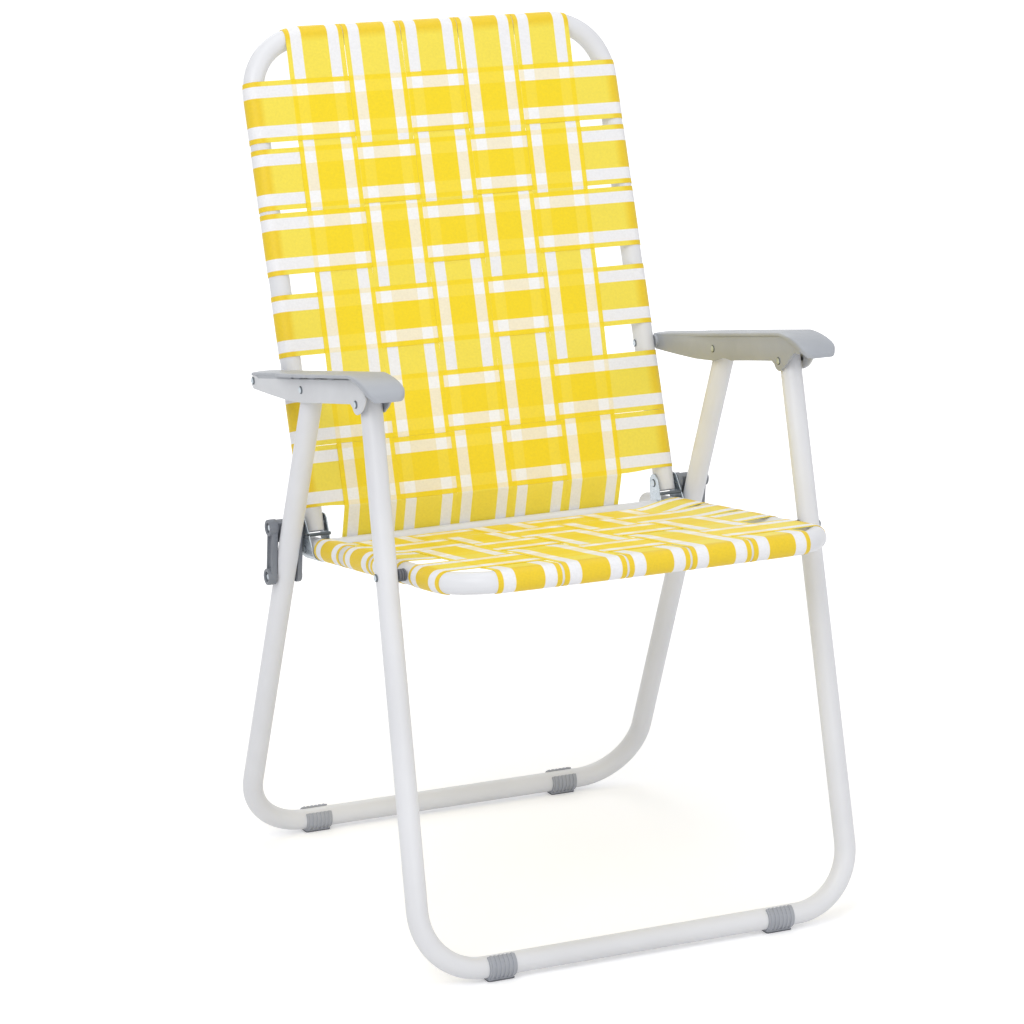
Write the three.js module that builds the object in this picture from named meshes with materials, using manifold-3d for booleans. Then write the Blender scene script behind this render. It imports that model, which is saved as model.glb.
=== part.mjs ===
// A folding webbed lawn chair. Millimetres, X across the chair, Y to the rear, Z up from the floor.
// Steel tubes carry woven straps. The seat folds up on the back, and the arms and legs fold with it.
import * as THREE from "three";
import { mergeVertices } from "three/addons/utils/BufferGeometryUtils.js";
import Module from "manifold-3d";

const wasm = await Module();
wasm.setup();

// Tubes, shared by all four frames.
const tubeRadius = 11;
const tubeWall = 1;
const clearance = 0.3; // between pieces that touch
const outerSides = 12;
const innerSides = 8;
const bendSteps = 6;
const cutOverrun = 2;

// Half widths, from the middle of the chair to the middle of a side tube.
const panelHalfWidth = 205.1; // back and seat frames
const rearLegHalfWidth = 235.4;
const frontLegFootHalfWidth = 241.2;
const frontLegTopHalfWidth = 233;

// Side layout: where the pivots are, seen from the left.
const hingeY = 95.48; // back to seat
const hingeHeight = 384.6;
const recline = THREE.MathUtils.degToRad(19.1);
const seatTilt = THREE.MathUtils.degToRad(7.64);
const frontFootY = -260.42;
const frontLean = THREE.MathUtils.degToRad(13.85);
const rearFootY = 226.48;
const rearLean = THREE.MathUtils.degToRad(21.67);
const armRearHeight = 529.5; // arm on the back tube
const armMidRise = 1.82; // arm on the rear leg: above the line of the arm's other two pivots
const armFrontHeight = 560; // arm on the front leg
const seatPivotHeight = 395.4; // seat on the front leg
const linkFootHeight = 331; // link on the rear leg

// Frames.
const backHeight = 509.4; // hinge to the middle of the top bar, along the back
const backTailLength = 9.1; // tube below the hinge
const backBendRadius = 60;
const seatReach = 108.5; // seat pivot to the middle of the front bar, along the rail
const seatTail = 301.5; // seat pivot to the rear end of the rail
const seatPivotRise = 1.7; // the pivot sits a little above the middle of the rail
const seatBendRadius = 46;
const seatFrontBow = 9.3; // the front bar bows forward by part of this
const seatFrontBowRadius = 2870;
const frontBendRadius = 64;
const rearBendRadius = 68;
const legEndLength = 7.5; // tube above the pivot in the arm
const crossbarRadius = 8;
const crossbarSetback = 4.7; // ahead of the hinge, along the rail
const crossbarScrewBite = 12;

// Feet.
const footSole = 2.7;
const footLength = 29;
const frontFootX = 156;
const rearFootX = 149.4;
const footShift = -3.6; // in the photo all four sit a little to the left
const footShell = 1.5;
const footRibRise = 0.9;
const footRibs = 5;
const footPadWidth = 17;
const footMouthHalfAngle = THREE.MathUtils.degToRad(55);

// Fasteners.
const shankRadius = 2.5;
const headRadius = 4;
const headHeight = 1.1;
const domeHeight = 1.9;
const fastenerSides = 10;

// Hinge brackets, rail plugs and links.
const bracketSheet = 1.3;
const bracketEyeRadius = 14;
const bracketFront = 24; // ahead of the hinge
const bracketInnerFront = 16; // the inner cheek stays clear of the folded web
const bracketRear = 15; // behind the hinge
const bracketShoulder = 5; // where the eye runs into the straight edges
const stopPinRadius = 1.8; // it holds the back tube's lower end from in front
const railPlugReach = 5;
const railPlugStem = 12;
const linkPlate = 4.9;
const linkInnerGap = 1.4; // between the bracket and the inner cheek
const linkEyeRadius = 8.7;
const linkWaist = 7.4;
const linkBossHeight = 4.4;
const linkRecess = 3.2;
const linkRecessRadius = 5.2;
const linkSleeveRadius = 3.8;
const linkShankRadius = 2.2;
const spacerRadius = 6;

// Armrests: a channel, open below, with a wider pad on top.
const skirtSheet = 2.2;
const armInnerFace = 219.4;
const armOuterFace = 249.1;
const padSheet = 3;
const padOuterReach = 9; // beyond the outer skirt at the front
const padInnerReach = 1.2;
const padStep = 68; // the pad widens this far ahead of the rear pivot
const padFlare = 62; // and is at its full width this much further on
const padNoseReach = 56.5; // beyond the front pivot
const padNoseRadius = 26;
const padNoseDrop = 20;
const armEndReach = 6;
const armEndDepth = 8.5;
const armRearRoof = 6.5; // rear pivot to the roof of the channel
const armFrontRoof = 25.7; // front pivot to the roof of the channel
const armMidDepth = 12.5; // middle pivot to the skirt's lower edge
const armFrontDepth = 3;
const armLobeRadius = 9.5;
const armBossRadius = 7;

// Webbing: flat woven straps that wrap round the tubes.
const strapWidth = 63.5;
const strapThickness = 0.5;
const weaveLift = 0.4; // over and under the mean surface
const edgeMargin = 0.2;
const wrapSweep = THREE.MathUtils.degToRad(210);
const wrapSteps = 9;
const cornerSteps = 8; // strap pieces where a strap lies over a bend
const lengthwiseCount = 5;
const meanPitch = 66; // the web is laid out evenly, then fanned out to its real places
const topSpread = { pitch: 66, offset: -1 };
const crossbarSpread = { pitch: 64.4, offset: -12 };
const frontSpread = { pitch: 69, offset: 3.8 };
const crossbarWrapAbove = THREE.MathUtils.degToRad(28);
const crossbarWrapBelow = THREE.MathUtils.degToRad(123);
const backRows = [430.5, 359, 291, 205.5, 111, 46.4]; // middle of each cross strap above the hinge
const seatRows = [202.2, 124.5, 53.5, -41.5]; // middle of each cross strap behind the seat pivot
const seatDips = [7.5, 3, 1.3, 0.5]; // how far the web is drawn down at each of those straps

// Colours and finishes.
const finish = (color, roughness, metalness) => new THREE.MeshStandardMaterial({ color, roughness, metalness });
const whitePaint = finish(0xf1f1f3, 0.3, 0);
const greyPlastic = finish(0xa9aeb6, 0.5, 0);
const darkGreyPlastic = finish(0x85898f, 0.55, 0);
const zincPlate = finish(0xc3ccd2, 0.35, 0.9);
const yellowWebbing = finish(0xf2dc2c, 0.75, 0);

// Derived layout.
const barHeight = tubeRadius + clearance + footSole;
const frontLegY = (height) => frontFootY + Math.tan(frontLean) * (height - barHeight);
const rearLegY = (height) => rearFootY - Math.tan(rearLean) * (height - barHeight);
const backY = (height) => hingeY + Math.tan(recline) * (height - hingeHeight);
const point = (y, z) => ({ y, z });
const hinge = point(hingeY, hingeHeight);
const armRear = point(backY(armRearHeight), armRearHeight);
const armFront = point(frontLegY(armFrontHeight), armFrontHeight);
const seatPivot = point(frontLegY(seatPivotHeight), seatPivotHeight);
const linkFoot = point(rearLegY(linkFootHeight), linkFootHeight);
const shankHole = shankRadius + clearance;

// A tilted plane with its own axes: Y to the rear and Z up, both turned about X.
class TiltedPlane {
  constructor(origin, angle) {
    this.origin = origin;
    this.angle = angle;
  }
  local(p) {
    const y = p.y - this.origin.y;
    const z = p.z - this.origin.z;
    const c = Math.cos(this.angle);
    const s = Math.sin(this.angle);
    return point(y * c + z * s, z * c - y * s);
  }
  group() {
    const g = new THREE.Group();
    g.position.set(0, this.origin.y, this.origin.z);
    g.rotation.x = this.angle;
    return g;
  }
}
const railOrigin = point(
  seatPivot.y - seatPivotRise * Math.sin(seatTilt),
  seatPivot.z - seatPivotRise * Math.cos(seatTilt),
);
const armSlope = Math.atan2(armFront.z - armRear.z, armRear.y - armFront.y);
const armSpan = Math.hypot(armFront.z - armRear.z, armRear.y - armFront.y);
const armPlane = new TiltedPlane(armRear, -armSlope);

// The middle pivot is where the rear leg meets the arm's pivot line.
function meetRearLeg(rise) {
  const level = armRear.z + rise / Math.cos(armSlope);
  const slope = Math.tan(armSlope);
  const leg = Math.tan(rearLean);
  const z = (level + slope * (armRear.y - rearFootY - leg * barHeight)) / (1 - slope * leg);
  return point(rearLegY(z), z);
}
const armMid = meetRearLeg(armMidRise);
const backPlane = new TiltedPlane(hinge, -recline);
const seatPlane = new TiltedPlane(railOrigin, -seatTilt);
const frontLegPlane = new TiltedPlane(point(frontFootY, barHeight), -frontLean);
const rearLegPlane = new TiltedPlane(point(rearFootY, barHeight), rearLean);
const seatHinge = seatPlane.local(hinge);

// The stop pin clears the back tube when the chair is open and again when it is folded.
const stopReach = tubeRadius + clearance + stopPinRadius;
const stopPin = seatPlane.local(
  point(
    hinge.y - stopReach * (Math.cos(recline) + Math.sin(recline)),
    hinge.z + stopReach * (Math.sin(recline) - Math.cos(recline)),
  ),
);
const crossbar = point(seatHinge.y - crossbarSetback, 0);

// A route of straight runs whose corners are rounded, each by its own radius. Its stations lie at
// the ends of the runs and round the bends.
class BentRoute extends THREE.Curve {
  constructor(corners, radii, steps = bendSteps) {
    super();
    const first = corners[0];
    const last = corners[corners.length - 1];
    const along = (from, to) => to.clone().sub(from).normalize();
    this.stations = [{ at: first, way: along(first, corners[1]) }];
    radii.forEach((radius, i) => {
      const corner = corners[i + 1];
      const wayIn = along(corners[i], corner);
      const wayOut = along(corner, corners[i + 2]);
      const turn = wayIn.angleTo(wayOut);
      const axis = wayIn.clone().cross(wayOut).normalize();
      const start = corner.clone().addScaledVector(wayIn, -radius * Math.tan(turn / 2));
      const spoke = axis.clone().cross(wayIn).multiplyScalar(-radius);
      const centre = start.clone().sub(spoke);
      for (let k = 0; k <= steps; k += 1) {
        const angle = (turn * k) / steps;
        const at = spoke.clone().applyAxisAngle(axis, angle).add(centre);
        this.stations.push({ at, way: wayIn.clone().applyAxisAngle(axis, angle) });
      }
    });
    this.stations.push({ at: last, way: along(corners[corners.length - 2], last) });
  }
  station(t) {
    return this.stations[Math.round(t * (this.stations.length - 1))];
  }
  getPoint(t, target = new THREE.Vector3()) {
    return target.copy(this.station(t).at);
  }
  getTangent(t, target = new THREE.Vector3()) {
    return target.copy(this.station(t).way);
  }
  getUtoTmapping(u) {
    return u;
  }
}

// Solids: a three.js geometry becomes a closed body that can be cut and joined.
function solid(geometry) {
  const bare = geometry.clone();
  bare.deleteAttribute("normal");
  bare.deleteAttribute("uv");
  const merged = mergeVertices(bare, 1e-4);
  const index = new Uint32Array(merged.index.array);
  const build = () =>
    new wasm.Manifold(
      new wasm.Mesh({ numProp: 3, vertProperties: merged.attributes.position.array, triVerts: index }),
    );
  const made = build();
  if (made.volume() > 0) return made;
  for (let i = 0; i < index.length; i += 3) [index[i + 1], index[i + 2]] = [index[i + 2], index[i + 1]];
  return build();
}
const join = (...solids) => solids.reduce((a, b) => a.add(b));
const cut = (body, ...tools) => tools.reduce((a, b) => a.subtract(b), body);

function geometryOf(body) {
  const { numProp, vertProperties, triVerts } = body.getMesh();
  const positions = new Float32Array((vertProperties.length / numProp) * 3);
  for (let i = 0; i < positions.length / 3; i += 1) {
    positions.set(vertProperties.subarray(i * numProp, i * numProp + 3), i * 3);
  }
  const geometry = new THREE.BufferGeometry();
  geometry.setAttribute("position", new THREE.BufferAttribute(positions, 3));
  geometry.setIndex(new THREE.BufferAttribute(new Uint32Array(triVerts), 1));
  geometry.computeVertexNormals();
  return geometry;
}

function ring(radius, sides) {
  const points = [];
  for (let i = 0; i < sides; i += 1) {
    const angle = ((i + 0.5) / sides) * 2 * Math.PI;
    points.push(new THREE.Vector2(radius * Math.cos(angle), radius * Math.sin(angle)));
  }
  return points;
}

// A hollow tube along a route.
function bentTube(route) {
  const section = new THREE.Shape(ring(tubeRadius, outerSides));
  section.holes.push(new THREE.Path(ring(tubeRadius - tubeWall, innerSides)));
  const steps = route.stations.length - 1;
  return solid(new THREE.ExtrudeGeometry(section, { steps, extrudePath: route }));
}

// A rod along X between two distances from the middle, at a place in side view.
function rodAlongX(radius, from, to, at, sides = fastenerSides) {
  const geometry = new THREE.CylinderGeometry(radius, radius, Math.abs(to - from), sides);
  geometry.rotateZ(Math.PI / 2);
  geometry.translate((from + to) / 2, at.y, at.z);
  return solid(geometry);
}

// A flat plate seen from the side: an outline in Y and Z, with its thickness along X.
const sideView = new THREE.Matrix4().makeBasis(
  new THREE.Vector3(0, 1, 0),
  new THREE.Vector3(0, 0, 1),
  new THREE.Vector3(1, 0, 0),
);
function sidePlate(shape, from, to, { curveSegments = fastenerSides, steps = 1 } = {}) {
  const low = Math.min(from, to);
  const depth = Math.abs(to - from);
  const geometry = new THREE.ExtrudeGeometry(shape, { depth, bevelEnabled: false, curveSegments, steps });
  geometry.applyMatrix4(sideView);
  geometry.translate(low, 0, 0);
  return geometry;
}

// A riveted pin along X: a shank with a low dome at each end that asks for one.
function rivet(side, from, to, at, { shank = shankRadius, inner = headHeight, outer = domeHeight } = {}) {
  let body = rodAlongX(shank, side * from, side * to, at);
  if (outer > 0) body = join(body, rodAlongX(headRadius, side * to, side * (to + outer), at));
  if (inner > 0) body = join(body, rodAlongX(headRadius, side * (from - inner), side * from, at));
  return body;
}

// Everything below is placed in one of these groups.
const chair = new THREE.Group();
chair.name = "folding_lawn_chair";
const backGroup = backPlane.group();
const seatGroup = seatPlane.group();
const frontLegGroup = frontLegPlane.group();
const rearLegGroup = rearLegPlane.group();
const armGroup = armPlane.group();
chair.add(backGroup, seatGroup, frontLegGroup, rearLegGroup, armGroup);

function add(group, name, body, material) {
  const geometry = body.isBufferGeometry ? body : geometryOf(body);
  const mesh = new THREE.Mesh(geometry, material);
  mesh.name = name;
  group.add(mesh);
}
const sides = [
  { name: "left", side: -1 },
  { name: "right", side: 1 },
];
const vector = (x, y, z) => new THREE.Vector3(x, y, z);
const throughTube = (radius, halfWidth, at) =>
  [-1, 1].map((side) =>
    rodAlongX(
      radius,
      side * (halfWidth - tubeRadius - cutOverrun),
      side * (halfWidth + tubeRadius + cutOverrun),
      at,
    ),
  );

function makeBackFrame() {
  const w = panelHalfWidth;
  const corners = [
    vector(-w, 0, -backTailLength),
    vector(-w, 0, backHeight),
    vector(w, 0, backHeight),
    vector(w, 0, -backTailLength),
  ];
  const tube = bentTube(new BentRoute(corners, [backBendRadius, backBendRadius]));
  const holes = [hinge, armRear].flatMap((p) => throughTube(shankHole, w, backPlane.local(p)));
  add(backGroup, "back_frame", cut(tube, ...holes), whitePaint);
}

function makeSeatFrame() {
  const w = panelHalfWidth;
  const corners = [
    vector(-w, seatTail, 0),
    vector(-w, -seatReach + seatFrontBow, 0),
    vector(0, -seatReach, 0),
    vector(w, -seatReach + seatFrontBow, 0),
    vector(w, seatTail, 0),
  ];
  const tube = bentTube(new BentRoute(corners, [seatBendRadius, seatFrontBowRadius, seatBendRadius]));
  const holes = [seatPlane.local(seatPivot), crossbar].flatMap((p) => throughTube(shankHole, w, p));
  add(seatGroup, "seat_frame", cut(tube, ...holes), whitePaint);
}

function makeFrontLegFrame() {
  const top = frontLegPlane.local(armFront).z + legEndLength;
  const corners = [
    vector(-frontLegTopHalfWidth, 0, top),
    vector(-frontLegFootHalfWidth, 0, 0),
    vector(frontLegFootHalfWidth, 0, 0),
    vector(frontLegTopHalfWidth, 0, top),
  ];
  const tube = bentTube(new BentRoute(corners, [frontBendRadius, frontBendRadius]));
  const at = frontLegPlane.local(seatPivot);
  add(frontLegGroup, "front_leg_frame", cut(tube, ...throughTube(shankHole, frontLegX(at.z), at)), whitePaint);
}

// Half width of the front legs at a distance up the leg.
function frontLegX(height) {
  const top = frontLegPlane.local(armFront).z + legEndLength;
  return THREE.MathUtils.lerp(frontLegFootHalfWidth, frontLegTopHalfWidth, height / top);
}

function makeRearLegFrame() {
  const w = rearLegHalfWidth;
  const top = rearLegPlane.local(armMid).z + legEndLength;
  const corners = [vector(-w, 0, top), vector(-w, 0, 0), vector(w, 0, 0), vector(w, 0, top)];
  const tube = bentTube(new BentRoute(corners, [rearBendRadius, rearBendRadius]));
  const holes = [armMid, linkFoot].flatMap((p) => throughTube(shankHole, w, rearLegPlane.local(p)));
  add(rearLegGroup, "rear_leg_frame", cut(tube, ...holes), whitePaint);
}

// The bracket is a U of sheet steel under the seat rail. Its cheeks rise beside the back tube.
const cheekInside = tubeRadius + clearance;
const cheekOutside = cheekInside + bracketSheet;
const bracketInnerFace = panelHalfWidth - cheekOutside;
const bracketOuterFace = panelHalfWidth + cheekOutside;

function makeCrossbar() {
  const reach = panelHalfWidth - cheekOutside - clearance;
  const bar = rodAlongX(crossbarRadius, -reach, reach, crossbar, outerSides);
  const holes = [-1, 1].map((side) =>
    rodAlongX(shankHole, side * (reach - crossbarScrewBite - clearance), side * (reach + cutOverrun), crossbar),
  );
  add(seatGroup, "seat_rear_crossbar", cut(bar, ...holes), whitePaint);
}

function makeBracket({ name, side }) {
  const rear = seatHinge.y + bracketRear;
  const cheek = (reach, from, to) => {
    const outline = new THREE.Shape();
    outline.moveTo(seatHinge.y - reach, -clearance);
    outline.lineTo(seatHinge.y - reach, seatHinge.z - bracketShoulder);
    outline.absarc(seatHinge.y, seatHinge.z, bracketEyeRadius, Math.PI, 0, true);
    outline.lineTo(rear, seatHinge.z - bracketShoulder);
    outline.lineTo(rear, -clearance);
    outline.closePath();
    return solid(sidePlate(outline, side * from, side * to));
  };
  const inner = cheek(bracketInnerFront, bracketInnerFace, bracketInnerFace + bracketSheet);
  const outer = cheek(bracketFront, bracketOuterFace - bracketSheet, bracketOuterFace);
  const trough = new THREE.Shape();
  trough.absarc(0, 0, cheekOutside, Math.PI, 2 * Math.PI, false);
  trough.absarc(0, 0, cheekInside, 2 * Math.PI, Math.PI, true);
  const length = bracketFront + bracketRear;
  const base = new THREE.ExtrudeGeometry(trough, { depth: length, bevelEnabled: false, curveSegments: outerSides });
  base.rotateX(Math.PI / 2);
  base.translate(side * panelHalfWidth, rear, 0);
  const bores = [
    [seatHinge, shankHole],
    [crossbar, shankHole],
    [stopPin, stopPinRadius + clearance],
  ];
  const holes = bores.map(([p, radius]) =>
    rodAlongX(
      radius,
      side * (bracketInnerFace - cutOverrun),
      side * (bracketOuterFace + cutOverrun),
      p,
    ),
  );
  add(seatGroup, "hinge_bracket_" + name, cut(join(inner, outer, solid(base)), ...holes), zincPlate);
}

// A round plug: a stem inside the tube and a head beyond its end.
function latheAlong(points, sides, turn) {
  const geometry = new THREE.LatheGeometry(points, sides);
  turn(geometry);
  return solid(geometry);
}

function makeRailPlug({ name, side }) {
  const stemRadius = tubeRadius - tubeWall - clearance * 2;
  const start = seatTail + clearance;
  const shoulder = tubeRadius * Math.cos(Math.PI / 5);
  const profile = [
    new THREE.Vector2(0, start - railPlugStem),
    new THREE.Vector2(stemRadius, start - railPlugStem),
    new THREE.Vector2(stemRadius, start),
    new THREE.Vector2(tubeRadius, start),
    new THREE.Vector2(shoulder, start + railPlugReach * Math.sin(Math.PI / 5)),
    new THREE.Vector2(shoulder / 2, start + railPlugReach),
    new THREE.Vector2(0, start + railPlugReach),
  ];
  const plug = latheAlong(profile, innerSides, (g) => {
    g.rotateY(Math.PI / innerSides);
    g.translate(side * panelHalfWidth, 0, 0);
  });
  add(seatGroup, "seat_rail_plug_" + name, plug, whitePaint);
}

// Rivets and screws.
function makeFasteners({ name, side }) {
  const hingeIn = bracketInnerFace - clearance;
  const hingeOut = bracketOuterFace + clearance;
  const hingeHeads = { outer: headHeight - clearance };
  const hingeRivet = rivet(side, hingeIn, hingeOut, seatHinge, hingeHeads);
  add(seatGroup, "hinge_rivet_" + name, hingeRivet, zincPlate);

  const pin = rodAlongX(stopPinRadius, side * bracketInnerFace, side * bracketOuterFace, stopPin);
  add(seatGroup, "stop_pin_" + name, pin, zincPlate);

  const screwIn = bracketInnerFace - clearance - crossbarScrewBite;
  const screw = rivet(side, screwIn, hingeOut, crossbar, { inner: 0, outer: headHeight - clearance });
  add(seatGroup, "crossbar_screw_" + name, screw, zincPlate);

  const backInner = panelHalfWidth - tubeRadius - clearance;
  const armRearRivet = rivet(side, backInner, armOuterFace + clearance, armRear, { inner: domeHeight });
  add(chair, "arm_rear_bolt_" + name, armRearRivet, zincPlate);

  const armMidRivet = rivet(side, armInnerFace - clearance, armOuterFace + clearance, armMid);
  add(chair, "arm_middle_rivet_" + name, armMidRivet, zincPlate);

  const skirtIn = armInnerFace + skirtSheet;
  const skirtOut = armOuterFace - skirtSheet;
  const innerStub = rivet(side, armInnerFace - clearance, skirtIn, armFront, { outer: 0 });
  add(chair, "arm_front_rivet_inner_" + name, innerStub, zincPlate);
  const outerStub = rivet(side, skirtOut, armOuterFace + clearance, armFront, { inner: 0 });
  add(chair, "arm_front_rivet_outer_" + name, outerStub, zincPlate);

  const legX = frontLegX(frontLegPlane.local(seatPivot).z);
  const pivotOut = legX + tubeRadius + clearance;
  const seatRivet = rivet(side, backInner, pivotOut, seatPivot, { outer: domeHeight });
  add(chair, "seat_pivot_rivet_" + name, seatRivet, zincPlate);

  const spacerFrom = panelHalfWidth + tubeRadius + clearance;
  const spacerTo = legX - tubeRadius - clearance;
  const spacer = cut(
    rodAlongX(spacerRadius, side * spacerFrom, side * spacerTo, seatPivot, outerSides),
    rodAlongX(shankHole, side * (spacerFrom - cutOverrun), side * (spacerTo + cutOverrun), seatPivot),
  );
  add(chair, "seat_pivot_spacer_" + name, spacer, darkGreyPlastic);
}

// The link straddles the rear leg: two cheeks, joined behind the leg by a sleeve at the top.
const linkInnerFace = bracketOuterFace + linkInnerGap;
const linkOuterCheek = rearLegHalfWidth + tubeRadius + clearance;
const linkOuterFace = linkOuterCheek + linkPlate;

function dogBone() {
  const up = Math.atan2(hinge.z - linkFoot.z, hinge.y - linkFoot.y);
  const open = Math.asin(linkWaist / linkEyeRadius);
  const shape = new THREE.Shape();
  shape.absarc(linkFoot.y, linkFoot.z, linkEyeRadius, up + open, up - open + 2 * Math.PI, false);
  shape.absarc(hinge.y, hinge.z, linkEyeRadius, up + Math.PI + open, up + 3 * Math.PI - open, false);
  shape.closePath();
  return shape;
}

function makeLink({ name, side }) {
  const shape = dogBone();
  const innerEdge = rearLegHalfWidth - tubeRadius - clearance;
  const bossFace = linkOuterFace + linkBossHeight;
  const cheeks = [
    solid(sidePlate(shape, side * linkInnerFace, side * innerEdge)),
    solid(sidePlate(shape, side * linkOuterCheek, side * linkOuterFace)),
  ];
  const eyes = [hinge, linkFoot];
  const bosses = eyes.map((p) => rodAlongX(linkEyeRadius, side * linkOuterCheek, side * bossFace, p, outerSides));
  const sleeve = rodAlongX(
    linkSleeveRadius,
    side * (innerEdge - clearance),
    side * (linkOuterCheek + clearance),
    hinge,
  );
  const tools = eyes.flatMap((p) => [
    rodAlongX(
      linkShankRadius + clearance,
      side * (linkInnerFace - cutOverrun),
      side * (bossFace + cutOverrun),
      p,
    ),
    rodAlongX(linkRecessRadius, side * (bossFace - linkRecess), side * (bossFace + cutOverrun), p),
  ]);
  add(chair, "link_" + name, cut(join(...cheeks, ...bosses, sleeve), ...tools), darkGreyPlastic);
  const seat = bossFace - linkRecess + clearance;
  const heads = { shank: linkShankRadius, inner: 0, outer: domeHeight };
  add(chair, "link_top_rivet_" + name, rivet(side, linkInnerFace, seat, hinge, heads), zincPlate);
  add(chair, "link_foot_rivet_" + name, rivet(side, linkInnerFace, seat, linkFoot, heads), zincPlate);
}

const padCurve = { curveSegments: bendSteps };

// The armrest in its own plane: the rear pivot is the origin and the front pivot is level with it.
// The roof of the channel is a straight line above the pivots.
const armRearPoint = point(0, 0);
const armMidPoint = armPlane.local(armMid);
const armFrontPoint = armPlane.local(armFront);
const roofAt = (y) => THREE.MathUtils.lerp(armRearRoof, armFrontRoof, -y / armSpan);

function skirtOutline() {
  const end = armEndReach;
  const nose = armFrontPoint.y - armLobeRadius;
  const top = roofAt(0) + padSheet / 2;
  const shape = new THREE.Shape();
  shape.moveTo(0, top);
  shape.lineTo(end / 2, top);
  shape.lineTo(end, 0);
  shape.lineTo(end, -armEndDepth / 2);
  shape.lineTo(end / 2, -armEndDepth);
  shape.lineTo(0, -armEndDepth);
  shape.lineTo(armMidPoint.y, -armMidDepth);
  shape.lineTo(armFrontPoint.y + armLobeRadius + armFrontDepth, -armFrontDepth);
  shape.absarc(armFrontPoint.y, 0, armLobeRadius, -Math.PI / 6, -Math.PI, true);
  shape.lineTo(nose, roofAt(nose) + padSheet / 2);
  shape.closePath();
  return shape;
}

// The pad's side profile: it follows the roof and droops round a nose at the front.
function padOutline() {
  const start = armEndReach / 2 - clearance;
  const tip = armFrontPoint.y - padNoseReach;
  const crown = tip + padNoseRadius;
  const crownTop = roofAt(crown) + padSheet;
  const shape = new THREE.Shape();
  shape.moveTo(start, roofAt(0));
  shape.lineTo(start, roofAt(0) + padSheet);
  shape.lineTo(crown, crownTop);
  shape.quadraticCurveTo(tip + padSheet, crownTop + padSheet / 2, tip, crownTop - padNoseDrop);
  shape.lineTo(tip + padSheet, crownTop - padNoseDrop);
  shape.quadraticCurveTo(tip + padSheet * 2, crownTop - padSheet, crown, roofAt(crown));
  shape.closePath();
  return shape;
}

// The pad's plan, cut from a wider sheet: narrow over the rear, wide at the front.
function padPlan(side) {
  const rear = armEndReach;
  const step = -padStep;
  const flare = -padStep - padFlare;
  const tip = armFrontPoint.y - padNoseReach;
  const inner = armInnerFace - padInnerReach;
  const outer = armOuterFace + padOuterReach;
  const corner = padNoseRadius / 2;
  const middle = (armOuterFace + outer) / 2;
  const shape = new THREE.Shape();
  shape.moveTo(side * armInnerFace, rear);
  shape.lineTo(side * armOuterFace, rear);
  shape.lineTo(side * armOuterFace, step + padSheet);
  shape.lineTo(side * middle, step);
  shape.lineTo(side * outer, flare);
  shape.lineTo(side * outer, tip + corner);
  shape.quadraticCurveTo(side * outer, tip, side * (outer - corner), tip);
  shape.lineTo(side * (inner + corner), tip);
  shape.quadraticCurveTo(side * inner, tip, side * inner, tip + corner);
  shape.lineTo(side * inner, flare);
  shape.closePath();
  return shape;
}

function makeArmrest({ name, side }) {
  const skirts = [
    [armInnerFace, armInnerFace + skirtSheet],
    [armOuterFace - skirtSheet, armOuterFace],
  ].map(([from, to]) => solid(sidePlate(skirtOutline(), side * from, side * to, padCurve)));
  const near = armInnerFace - padInnerReach - cutOverrun;
  const far = armOuterFace + padOuterReach + cutOverrun;
  const sheet = solid(sidePlate(padOutline(), side * near, side * far, padCurve));
  const depth = roofAt(armFrontPoint.y) + padSheet + padNoseDrop;
  const plan = new THREE.ExtrudeGeometry(padPlan(side), { depth, bevelEnabled: false, ...padCurve });
  const pad = sheet.intersect(solid(plan));
  const boss = rodAlongX(
    armBossRadius,
    side * (panelHalfWidth + tubeRadius + clearance * 2),
    side * (armInnerFace + clearance),
    armRearPoint,
    outerSides,
  );
  const wall = new THREE.Shape();
  const wallTop = roofAt(0) + clearance;
  const wallFace = armEndReach - clearance;
  wall.moveTo(wallFace - skirtSheet, -armEndDepth / 2 + clearance);
  wall.lineTo(wallFace, -armEndDepth / 2 + clearance);
  wall.lineTo(wallFace, 0);
  wall.lineTo(wallFace - armEndReach / 2, wallTop);
  wall.lineTo(0, wallTop);
  wall.closePath();
  const end = solid(sidePlate(wall, side * (armInnerFace + clearance), side * (armOuterFace - clearance)));
  const holes = [armRearPoint, armMidPoint, armFrontPoint].map((p) =>
    rodAlongX(
      shankHole,
      side * (panelHalfWidth + tubeRadius),
      side * (armOuterFace + cutOverrun),
      p,
    ),
  );
  add(armGroup, "armrest_" + name, cut(join(...skirts, pad, boss, end), ...holes), greyPlastic);
}

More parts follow.
